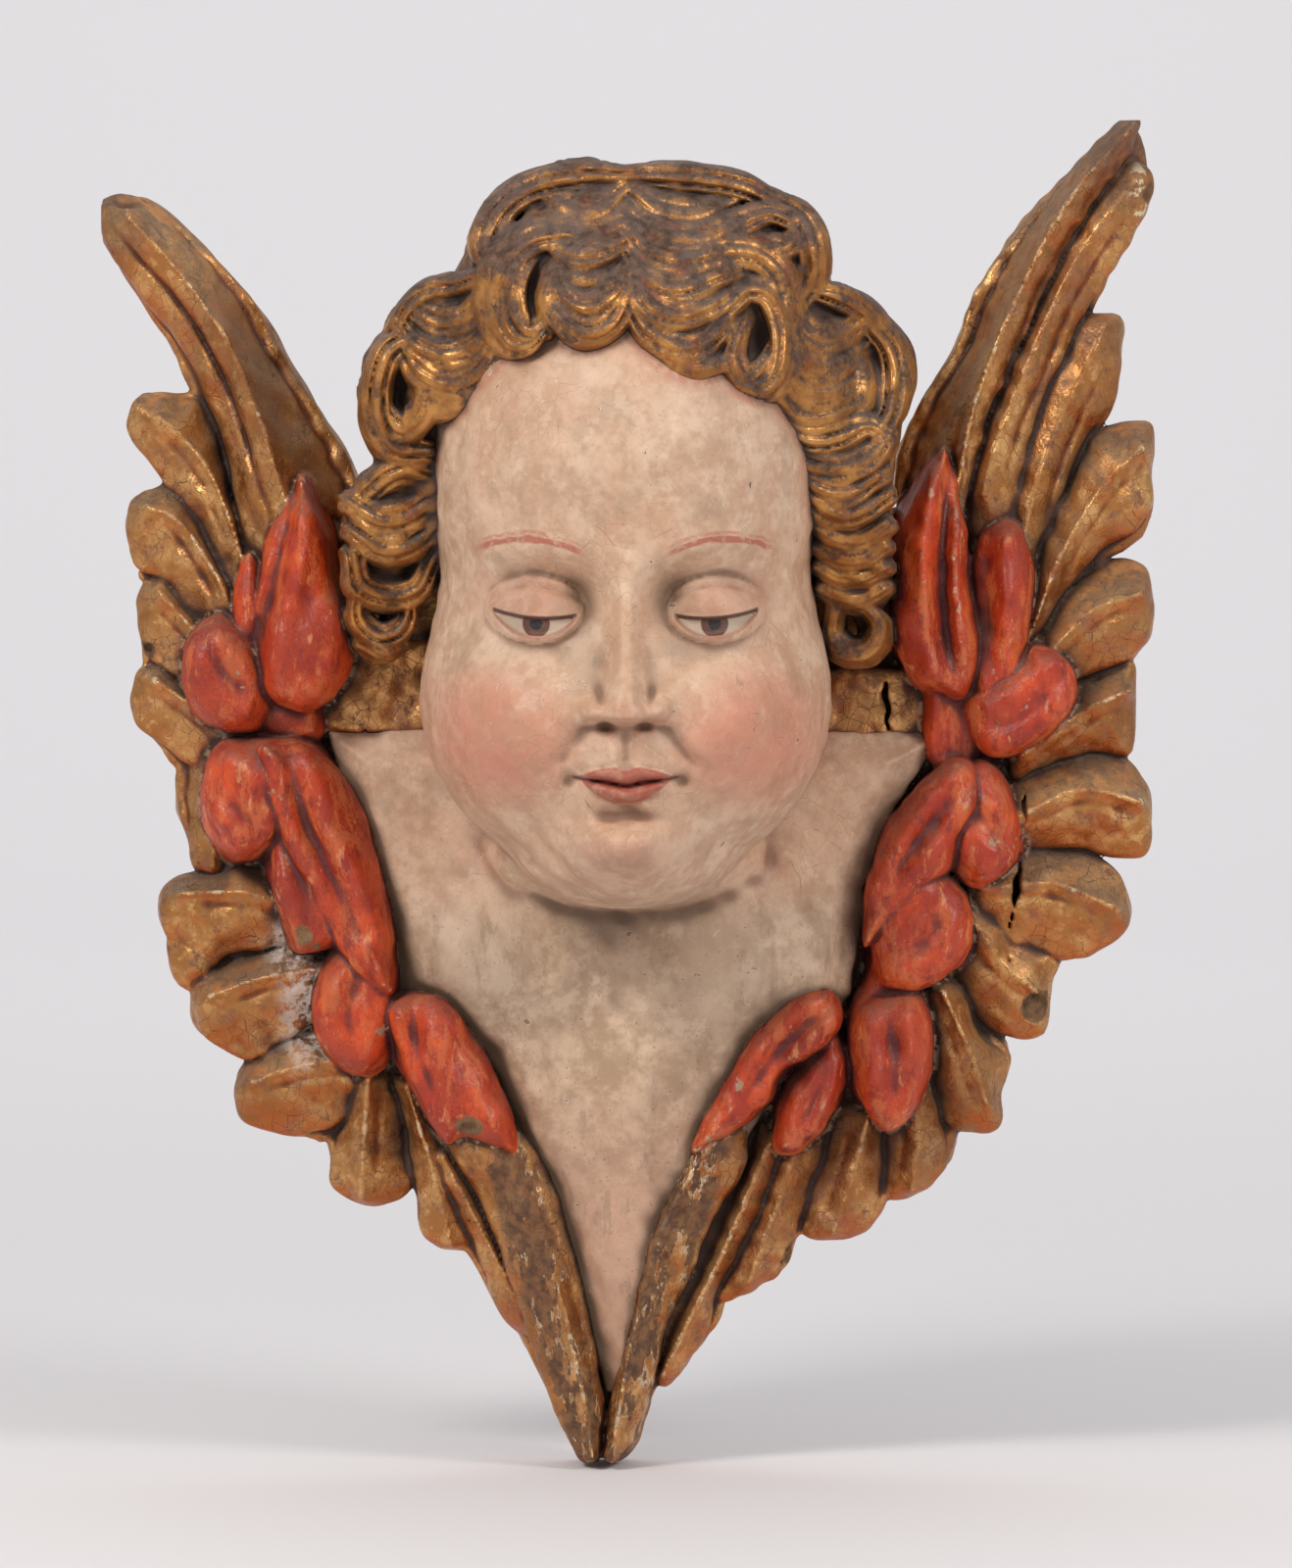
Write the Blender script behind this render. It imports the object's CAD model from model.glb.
import math

import bmesh
import bpy
import numpy as np
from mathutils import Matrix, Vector


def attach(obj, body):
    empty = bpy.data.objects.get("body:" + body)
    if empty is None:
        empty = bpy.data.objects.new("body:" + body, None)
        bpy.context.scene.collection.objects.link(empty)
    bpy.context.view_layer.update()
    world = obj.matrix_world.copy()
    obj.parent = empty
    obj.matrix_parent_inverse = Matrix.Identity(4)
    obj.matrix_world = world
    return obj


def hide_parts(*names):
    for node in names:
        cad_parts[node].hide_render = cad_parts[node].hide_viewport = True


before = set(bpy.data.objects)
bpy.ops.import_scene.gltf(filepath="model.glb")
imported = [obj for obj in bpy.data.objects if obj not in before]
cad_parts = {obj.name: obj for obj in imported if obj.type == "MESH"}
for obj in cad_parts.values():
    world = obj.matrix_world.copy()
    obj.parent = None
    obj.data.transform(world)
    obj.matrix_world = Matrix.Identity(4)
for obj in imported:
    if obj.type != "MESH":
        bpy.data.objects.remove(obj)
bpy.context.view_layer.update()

# All sculpting sizes below are millimetres; depth is measured forward from the flat back.
COARSE = 1.0
STEP = 1.0

scene = bpy.context.scene
MM = 0.001

COVERT = [
  [-98.7, 82.2, -98.1, 46.0, -103.0, 19.9, 2.5, 15.3, 11.0],
  [-114.1, 58.3, -115.9, 41.4, -114.1, 23.3, 4.9, 7.4, 8.0],
  [-110.4, 18.4, -121.4, 24.5, -128.2, 27.6, 11.0, 14.1, 10.4],
  [-104.2, -12.3, -116.5, -15.9, -122.0, -17.2, 12.3, 17.2, 12.3],
  [-108.8, -4.6, -88.9, -30.7, -78.2, -67.5, 12.3, 18.4, 11.7],
  [-95.0, -27.6, -100.6, -44.5, -99.6, -54.6, 11.0, 11.0, 8.0],
  [-78.2, -64.4, -84.0, -82.2, -85.2, -93.8, 9.8, 13.5, 9.8],
  [-63.8, -80.3, -54.6, -99.6, -41.4, -117.1, 11.0, 14.1, 7.7],
  [97.5, 92.6, 93.8, 53.7, 96.9, 24.5, 2.5, 13.5, 8.0],
  [116.5, 67.5, 117.1, 42.9, 110.4, 21.5, 8.0, 10.4, 9.8],
  [113.4, 7.7, 125.1, 18.4, 130.6, 20.8, 11.7, 14.7, 10.4],
  [102.7, -9.2, 111.6, -21.5, 114.7, -30.0, 10.4, 14.1, 10.4],
  [110.4, 4.6, 87.4, -24.5, 79.7, -55.2, 9.2, 17.2, 12.3],
  [90.4, -36.8, 96.6, -53.7, 98.1, -63.8, 12.9, 15.3, 10.4],
  [76.6, -70.5, 83.4, -92.0, 84.0, -107.9, 10.4, 12.9, 9.8],
  [58.9, -79.1, 46.0, -96.9, 25.1, -119.0, 9.8, 11.7, 4.3],
  [64.4, -88.9, 58.3, -107.3, 52.1, -120.2, 9.2, 9.2, 5.8],
]
LOCK = [
  [-38.3, 167.4, 11.7, 14.7, 15, -36.2, 170.2, 4.6, 94, 36],
  [-14.1, 172.9, 18.4, 11, -6, -14.1, 190.1, 0, 102, 40],
  [-23.9, 160, 24.5, 9.8, -20, -15.3, 196.2, 0, 117, 36],
  [-35, 143.5, 14.1, 18.4, 8, -28.8, 149.6, 3.1, 127, 36],
  [-11.3, 144.7, 14.1, 14.7, 0, -11, 159.4, 0, 131, 36],
  [-57, 137.4, 14.7, 11.7, -30, -61.3, 150.8, 0, 92, 34],
  [-57.6, 121.4, 14.7, 15.9, 10, -60.7, 135.5, 0, 101, 36],
  [-71.4, 109.8, 11.3, 20.2, 4, -70.8, 114.7, 3.1, 86, 36],
  [-75.7, 68.4, 14.1, 19, 0, -74.2, 59.5, 2.1, 69, 36],
  [-71.1, 43.5, 10.7, 12.3, 0, -74.8, 44.8, 1.8, 52, 28],
  [19.6, 172.3, 20.2, 11.7, 8, 20.2, 190.1, 0, 102, 40],
  [23.3, 156.4, 25.8, 9.8, 14, 15.3, 199.3, 0, 118, 36],
  [19, 135.5, 19.6, 15.3, 18, 23.3, 152.7, 0, 129, 38],
  [42.3, 128.2, 13.2, 18.4, -4, 41.7, 131.5, 3.4, 121, 38],
  [47.2, 159.4, 15.3, 19.6, -20, 31.3, 172.9, 0, 93, 40],
  [63.2, 135.5, 15.3, 12.3, 20, 60.7, 151.5, 0, 87, 36],
  [78.2, 120.2, 10.7, 19.6, -6, 77.6, 125.7, 2.5, 68, 36],
  [60.7, 114.7, 13.8, 14.7, 10, 60.1, 131.2, 0, 99, 36],
  [67.5, 96.9, 17.8, 13.5, -10, 68.1, 112.2, 0, 90, 36],
  [71.7, 81.6, 13.5, 14.1, 0, 71.1, 98.1, 0, 82, 34],
  [71.4, 66.2, 11.7, 6.1, 0, 71.4, 66.2, 0, 73, 34],
  [71.1, 57.9, 11, 5.5, 0, 71.1, 57.9, 0, 69, 32],
  [70.8, 49.7, 10.4, 5.5, 0, 70.8, 49.7, 0, 64, 30],
  [71.1, 39.2, 9.5, 10.7, 0, 71.4, 38.6, 2.8, 54, 28],
]
BOARD = [
  [-93, 80], [-112, 66], [-118, 40], [-126, 24], [-133.5, 0], [-133.8, -35], [-112, -52],
  [-100, -76], [-84, -96], [-62, -114], [-46, -128], [-22, -172], [-7, -205], [3, -205],
  [18, -172], [38, -130], [62, -116], [84, -106], [106, -76], [120, -44], [128, -10],
  [127, 30], [116, 62], [96, 74],
]
CHEST = [
  [-92, 6], [-86, -20], [-76, -52], [-70, -74], [-44, -96], [-28, -134], [-15, -172],
  [-6, -200], [3, -200], [15, -172], [30, -134], [50, -100], [70, -76], [74, -44], [82, -20], [100, 6],
]
# Small red feathers: outline, height, width of the rounded edge, channel line, its depth and half width
RED = [
    ("C4", [(-122.6, 4.6), (-107.3, 3.7), (-99.6, -7.7), (-104.2, -27.6), (-115.9, -35), (-124.2, -33.7), (-130.3, -25.1), (-132.1, -12.3), (-129.4, -0.6)], 47, 10.0, [(-125.1, -12.3), (-115.9, -21.5), (-111.9, -27.6)], 2.0, 3.0),
    ("C3", [(-122.6, 42.3), (-111.9, 35.3), (-107.3, 18.4), (-111.9, 5.5), (-122.6, 4.9), (-133.4, 10.1), (-138, 20.8), (-137.7, 32.2), (-133.4, 38.9), (-127.2, 42.6)], 45, 9.5, [(-130.3, 33.7), (-121.1, 21.5), (-113.4, 18.4)], 2.0, 3.0),
    ("C2", [(-115.9, 63.5), (-111.3, 56.7), (-110.4, 42.9), (-111.9, 24.5), (-115.9, 15.9), (-121.4, 18.4), (-123.6, 33.7), (-122, 49.1), (-119.6, 59.8)], 41, 7.5, [(-115.9, 58.3), (-117.1, 42.9), (-115.9, 21.5)], 1.5, 2.0),
    ("C5b", [(-108.8, -21.5), (-95, -27.6), (-88.9, -42.9), (-87.1, -58.3), (-93.5, -62.5), (-102.7, -63.2), (-107.9, -52.1), (-111.9, -36.8)], 44, 6.0, [(-104.2, -30.7), (-99.6, -42.9), (-96.6, -56.7)], 2.0, 2.5),
    ("C5", [(-114.1, 4.3), (-98.7, 3.7), (-88.3, -4.6), (-80.3, -18.4), (-74.5, -36.8), (-70.5, -58.3), (-69.6, -74.5), (-77.3, -76), (-85.8, -67.5), (-93.5, -55.2), (-101.2, -39.9), (-108.8, -27.6), (-115.3, -9.2)], 51, 10.5, [(-104.2, -1.5), (-98.7, -21.5), (-88.9, -42.9), (-80.3, -61.3)], 4.0, 3.2),
    ("C6", [(-88.3, -59.8), (-77.3, -62.9), (-69.3, -73.6), (-69.9, -85.8), (-74.2, -98.1), (-82.2, -101.5), (-90.4, -98.1), (-96.6, -88.9), (-98.4, -76.6), (-95, -65.9)], 45, 9.5, [(-82.2, -64.4), (-85.2, -79.7), (-83.4, -96.6)], 2.0, 3.0),
    ("C7", [(-63.8, -73.6), (-54.6, -75.4), (-46.9, -85.8), (-39.2, -99.6), (-33.7, -115.9), (-33.7, -125.1), (-40.5, -123.9), (-49.1, -120.2), (-55.8, -122.6), (-61.3, -116.5), (-67.5, -104.2), (-73, -92), (-75.1, -81.2), (-71.1, -75.4)], 50, 10.0, [(-65.9, -78.2), (-64.4, -92), (-55.2, -113.4)], 4.0, 3.2),
    ("C1", [(-98.7, 84.3), (-90.1, 67.5), (-88.3, 55.2), (-82.5, 42.9), (-83.7, 27.6), (-89.8, 16.6), (-98.1, 11.3), (-105.8, 12.6), (-113.4, 19), (-116.2, 33.7), (-114.4, 49.1), (-111.3, 64.4), (-107.3, 75.1), (-103.3, 81.2)], 52, 9.5, [(-102.4, 79.7), (-107.9, 55.2), (-112.8, 36.8), (-112.8, 21.5)], 7.0, 3.0),
    ("D3", [(125.7, 34.3), (134.9, 31.3), (140.4, 21.5), (138, 11.7), (130.3, 2.5), (121.1, -2.1), (111.3, -2.1), (104.2, 5.5), (103.6, 16.9), (111.9, 24.5), (121.1, 30.7)], 46, 9.5, [(134.9, 24.5), (124.2, 12.3), (111.9, 7.7)], 2.0, 3.2),
    ("D2", [(112.8, 71.1), (121.4, 71.1), (126.3, 61.3), (126.9, 46), (125.4, 32.2), (123.9, 19.9), (113.4, 13.8), (105.8, 16.9), (105.5, 30.7), (105.8, 49.1), (107.3, 63.8)], 44, 8.5, [(111.9, 65.9), (111.3, 46), (113.4, 21.5)], 3.5, 3.0),
    ("D4", [(110.4, -1.5), (118.7, -9.2), (122.6, -21.5), (122.6, -32.5), (116.5, -40.5), (108.2, -43.5), (99.6, -36.8), (96.6, -24.5), (100.6, -10.1)], 45, 9.0, [(118, -27.6), (110.4, -21.5), (105.8, -12.3)], 2.0, 3.0),
    ("D5b", [(87.4, -33.7), (99.6, -36.8), (107.3, -47.5), (107.3, -61.9), (101.2, -69.9), (93.5, -74.2), (83.4, -75.4), (76, -70.5), (75.1, -52.1), (79.7, -38.3)], 47, 10.0, [(81.2, -61.3), (92, -58.3), (99.6, -42.9)], 2.5, 3.4),
    ("D5", [(101.8, -0.6), (111, -7.7), (107.3, -24.5), (99.6, -38.3), (88.9, -47.5), (79.7, -56.7), (73, -61.3), (73, -44.5), (76.6, -30), (84.3, -16.2), (93.5, -7.1)], 51, 10.0, [(105.8, -9.2), (95, -21.5), (84.3, -36.8), (78.2, -52.1)], 4.0, 3.2),
    ("D1", [(98.7, 94.1), (103, 82.8), (105.5, 67.5), (106.7, 49.1), (109.8, 36.8), (108.8, 23.9), (104.2, 15.9), (96.6, 17.5), (88.3, 20.8), (82.2, 32.2), (80, 42.9), (81.6, 58.3), (84, 70.5), (88.9, 82.8), (95, 91.1)], 52, 9.5, [(99.3, 88.9), (97.5, 61.3), (98.7, 36.8), (103, 19.9)], 7.0, 2.8),
    ("D6", [(79.1, -73.6), (90.4, -74.5), (95.7, -85.8), (95, -99.6), (91.1, -111), (82.8, -119.3), (76, -116.5), (70.5, -107.3), (67.5, -95), (68.1, -82.8), (73, -76)], 45, 9.5, [(81.2, -78.2), (82.8, -95), (82.2, -115)], 2.5, 3.0),
    ("D8", [(64.4, -84.6), (69.9, -95), (68.7, -105.8), (61.9, -118), (53.7, -126.3), (46, -125.7), (44.2, -119.6), (46.9, -107.3), (52.7, -97.5), (58.9, -90.4)], 43, 7.5, [(64.4, -92), (58.3, -107.3), (50, -122.6)], 1.5, 2.0),
    ("D7", [(61.3, -71.7), (67.5, -78.2), (66.5, -87.7), (58.9, -95.7), (49.1, -100.6), (46, -107.9), (39.2, -114.7), (29.1, -121.7), (19.3, -124.8), (24.2, -110.4), (30.4, -98.1), (38, -85.8), (49.1, -75.4)], 49, 9.0, [(62.9, -78.2), (49.1, -90.4), (33.7, -110.4)], 4.0, 3.0),
]
# Gilded feathers: outline, height of the crest, crest line from root to tip, fall to the upper and the lower edge
LOBES = [
    ("L12", [(-64.4, -122.6), (-52.1, -124.2), (-41.1, -138), (-31.3, -161.9), (-23.9, -180.9), (-27.3, -184.3), (-34.3, -181.5), (-40.5, -173.8), (-45.7, -158.5), (-53.3, -146.2), (-60.4, -134.9)], 27, [(-56.7, -126.3), (-42.9, -153.3), (-29.1, -180.9)], 0.3, 0.45),
    ("R14", [(41.7, -115), (34.6, -130.6), (27.6, -147.2), (19.3, -164), (12.3, -178.4), (8.6, -191), (6.7, -196.2), (13.8, -198.7), (20.8, -189.2), (27, -177.2), (28.2, -169.9), (35.6, -157.9), (44.2, -141.3), (49.7, -126.3)], 28, [(45.4, -119.6), (30.7, -154.8), (18.4, -179.4), (11, -194.7)], 0.3, 0.45),
    ("L13", [(-56.4, -119.6), (-46, -139.5), (-37.7, -160.4), (-30.4, -180.9), (-23.9, -198.7), (-18.4, -214), (-13.8, -221.7), (-8.3, -221.1), (-6.1, -210.6), (-8.6, -191), (-12.3, -171.1), (-16.9, -152.1), (-21.8, -135.8), (-30, -119.6), (-42.9, -113.4)], 38, [(-41.4, -119.6), (-27.9, -147.2), (-18.1, -177.8), (-12.3, -205.4), (-10.4, -219.5)], 0.3, 0.26),
    ("R15", [(20.8, -118), (14.4, -132.8), (7.4, -147.2), (2.5, -164.6), (-0.9, -183), (-4, -199.9), (-6.7, -212.2), (-7.1, -220.1), (-3.1, -222), (2.5, -217.7), (6.4, -206.3), (10.1, -191.9), (14.7, -175.1), (20.8, -161), (28.8, -142.9), (37.4, -127.5), (35.3, -111.9)], 38, [(27, -119.6), (12.3, -145.6), (3.7, -174.8), (-1.8, -202.4), (-4.9, -220.1)], 0.3, 0.26),
    ("LBc", [(-163.7, 168), (-160, 169.9), (-154.8, 168), (-150.2, 170.8), (-142.3, 165.6), (-132.8, 156.1), (-120.5, 140.4), (-107.9, 119.6), (-95.7, 99.6), (-87.1, 84.6), (-85.2, 70.5), (-95, 65.9), (-102.7, 46), (-115.9, 44.5), (-120.2, 65.9), (-122.6, 85.8), (-128.8, 107.3), (-138.6, 125.7), (-150.8, 141), (-160.4, 154.5), (-164, 161.6)], 36, [(-100.6, 61.3), (-106.7, 82.8), (-113.4, 104.2), (-122.6, 125.7), (-134.9, 144.1), (-149.6, 160.7), (-154.5, 166.8)], 0.6, 0.34),
    ("RBa", [(140.4, 133.4), (153, 133.7), (153.6, 119.6), (150.2, 106.7), (142.9, 96.9), (136.1, 79.7), (130.6, 61.3), (126.3, 41.4), (114.1, 39.9), (114.1, 67.5), (119.6, 92), (127.5, 113.4), (137.4, 128.8)], 29, [(120.2, 46), (125.7, 79.7), (136.1, 106.7), (147.8, 131.2)], 0.24, 0.36),
    ("RBb", [(152.7, 180.9), (161.3, 179.1), (162.2, 170.2), (155.4, 156.4), (145, 141), (136.7, 125.1), (128.2, 104.2), (122.6, 82.8), (118.3, 58.3), (105.8, 56.7), (103.6, 79.7), (109.1, 101.2), (118.3, 122.6), (127.5, 144.1), (140.4, 167.1)], 33, [(110.4, 79.7), (115, 98.1), (124.2, 119.6), (133.4, 141), (144.1, 159.4), (157, 176)], 0.28, 0.26),
    ("RBc", [(156.4, 195.9), (158.5, 192.9), (153.9, 182.1), (144.7, 169.5), (136.1, 155.8), (127.5, 137.4), (118.7, 119), (111.3, 100.6), (105.8, 82.2), (102.7, 64.4), (92, 64.4), (86.5, 82.2), (89.5, 95), (97.2, 110.4), (105.2, 123.3), (111.6, 139.8), (122.6, 160), (134.9, 175.4), (147.2, 188.6)], 37, [(101.8, 78.2), (105.8, 101.2), (111.9, 119.6), (119.6, 138), (128.8, 156.4), (141, 176.3), (156.4, 192.5)], 0.64, 0.2),
    ("L6", [(-134.9, -1.5), (-124.2, -1.5), (-122.6, -36.8), (-133.4, -38.3), (-136.1, -24.5)], 25, [(-127.2, -3.1), (-128.2, -36.8)], 0.3, 0.25),
    ("L5", [(-144.7, 27.6), (-136.4, 22.1), (-128.2, 14.7), (-115.9, 4.6), (-115.9, -4.6), (-127.2, -3.7), (-134.9, -4.9), (-142.3, 1.2), (-150.8, 7.4), (-153.6, 15), (-151.8, 23)], 29, [(-118, -1.5), (-130.3, 10.7), (-145.6, 21.5)], 0.46, 0.3),
    ("L4", [(-147.2, 54), (-142, 55.2), (-134.9, 47.5), (-125.1, 36.8), (-124.2, 24.5), (-133.4, 19), (-140.1, 20.8), (-147.2, 27), (-150.8, 36.8), (-151.5, 46.6)], 29, [(-125.7, 24.5), (-133.4, 36.8), (-144.7, 49.1)], 0.46, 0.3),
    ("L3", [(-145.6, 80.9), (-138, 82.5), (-132.5, 77.3), (-125.7, 61.3), (-118, 46), (-116.5, 36.8), (-124.2, 33.7), (-134, 36.8), (-138.6, 44.5), (-145.6, 52.7), (-152.7, 57.6), (-154.8, 67.5), (-153.3, 76.6)], 30, [(-119.6, 36.8), (-127.2, 55.2), (-138, 70.5), (-147.8, 75.1)], 0.46, 0.3),
    ("L2", [(-150.2, 109.5), (-140.4, 109.8), (-130.9, 109.1), (-126.3, 98.1), (-121.7, 79.7), (-115.9, 61.3), (-111.9, 44.5), (-119, 39.2), (-126.3, 49.1), (-133.1, 65), (-139.8, 78.5), (-147.2, 88.3), (-152.7, 95), (-154.2, 102.7)], 30, [(-114.1, 42.9), (-121.1, 67.5), (-130.3, 88.9), (-144.1, 102.7)], 0.46, 0.3),
    ("L7", [(-130.3, -38.3), (-119.6, -34.6), (-107.3, -36.8), (-98.1, -47.5), (-95, -58.3), (-110.4, -61.9), (-122.6, -63.5), (-128.2, -67.5), (-136.4, -65), (-143.5, -57.3), (-144.7, -47.5), (-141, -41.7)], 30, [(-98.1, -50.6), (-116.5, -44.5), (-138, -44.5)], 0.46, 0.3),
    ("L8", [(-125.7, -67.5), (-107.3, -59.8), (-95, -61.3), (-90.4, -73.6), (-98.1, -85.8), (-108.8, -92.6), (-115.9, -97.2), (-124.2, -94.7), (-133.4, -87.7), (-135.2, -78.2), (-132.8, -70.5)], 31, [(-93.5, -67.5), (-111.9, -70.5), (-128.8, -76.6)], 0.46, 0.3),
    ("L9", [(-115, -93.5), (-100.6, -87.1), (-88.9, -90.4), (-81.2, -104.2), (-88.3, -117.1), (-101.2, -120.2), (-110.4, -119.6), (-119.6, -115.6), (-121.7, -107.3), (-119.6, -99.3)], 30, [(-85.8, -96.6), (-101.2, -98.1), (-115.9, -103.6)], 0.46, 0.3),
    ("L10", [(-88.9, -99.6), (-78.2, -96.6), (-69, -105.8), (-68.1, -125.7), (-66.5, -137.1), (-78.2, -142.9), (-88.9, -138.6), (-91.7, -131.8), (-89.5, -116.5)], 28, [(-79.7, -99.6), (-81.2, -119.6), (-82.2, -139.5)], 0.36, 0.4),
    ("L11", [(-73, -101.2), (-61.3, -104.2), (-53.3, -119.6), (-47.8, -138), (-44.8, -154.2), (-55.2, -156.4), (-63.8, -150.8), (-65, -138), (-68.7, -119.6)], 28, [(-68.1, -104.2), (-61.3, -125.7), (-54.6, -153.9)], 0.36, 0.42),
    ("R4", [(145.6, 98.1), (156.4, 100.9), (163.1, 99.6), (163.1, 85.8), (163.1, 76), (157.9, 68.1), (147.8, 61.9), (138, 52.1), (129.4, 36.8), (121.1, 30.7), (121.1, 49.1), (127.2, 64.4), (135.5, 79.7), (141, 92)], 31, [(124.2, 33.7), (134.9, 61.3), (147.2, 81.2), (159.4, 93.5)], 0.46, 0.32),
    ("R5", [(152.7, 58.3), (161, 55.8), (163.1, 49.1), (163.1, 36.2), (156.4, 27.6), (147.2, 23.9), (134.9, 20.8), (125.7, 21.5), (124.2, 33.7), (130.3, 44.5), (138, 51.5), (145.6, 56.4)], 31, [(127.2, 26.1), (144.1, 42.9), (159.4, 48.4)], 0.46, 0.32),
    ("R6", [(150.2, 25.8), (157, 26.4), (158.2, 18.4), (156.7, -0.6), (144.7, -1.2), (131.8, -4.9), (119.6, -9.2), (119.6, 6.1), (133.4, 13.8), (140.4, 20.8)], 30, [(122.6, -1.5), (141, 11.7), (156.4, 18.4)], 0.46, 0.32),
    ("R7", [(128.8, -2.5), (142.6, 0), (153.9, -2.5), (161.6, -12.3), (163.1, -25.1), (161.3, -32.8), (150.2, -33.4), (138, -30), (119.6, -30.7), (115, -16.9), (121.1, -6.7)], 31, [(119.6, -21.5), (139.5, -12.3), (158.8, -15.9)], 0.46, 0.32),
    ("R8", [(122.6, -28.2), (138, -31.3), (149.3, -36.2), (155.4, -44.5), (156.1, -55.8), (147.2, -62.5), (136.4, -65.6), (125.7, -61.9), (115, -59.8), (105.8, -52.1), (105.8, -38.3), (113.4, -31.3)], 31, [(110.4, -42.9), (131.8, -41.4), (151.8, -49.1)], 0.46, 0.32),
    ("R9", [(107.3, -42.9), (122.6, -56.7), (134.3, -63.2), (131.5, -73.6), (129.7, -88.6), (116.5, -89.5), (109.8, -85.8), (102.7, -76.6), (101.2, -58.3)], 30, [(105.8, -50.6), (116.5, -65.9), (128.8, -76.6)], 0.4, 0.36),
    ("R10", [(92, -70.5), (104.2, -73.6), (110.4, -88.3), (118.7, -96.6), (116.5, -107.3), (115.6, -118.7), (102.1, -119.3), (95, -111), (89.5, -92)], 30, [(98.1, -75.1), (105.8, -92), (111.9, -110.4)], 0.4, 0.36),
    ("R11", [(79.7, -102.7), (93.5, -101.8), (98.7, -116.5), (100.3, -129.4), (92, -138.6), (81.2, -139.8), (78.5, -128.8)], 28, [(88.9, -104.2), (90.4, -119.6), (88.9, -136.4)], 0.36, 0.4),
    ("R12", [(67.5, -110.4), (81.2, -113.4), (79.7, -134.9), (77.3, -147.2), (67.5, -153), (54.6, -150.8), (57, -134.9), (62.9, -119.6)], 28, [(75.1, -113.4), (70.5, -131.8), (64.4, -150.2)], 0.4, 0.36),
    ("R13", [(47.5, -107.3), (64.4, -110.4), (60.7, -131.8), (52.7, -153.3), (49.7, -162.5), (37.4, -170.5), (27, -171.7), (31.3, -153.3), (40.5, -128.8)], 28, [(56.7, -110.4), (49.1, -134.9), (38.3, -165.6)], 0.4, 0.36),
]
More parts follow.
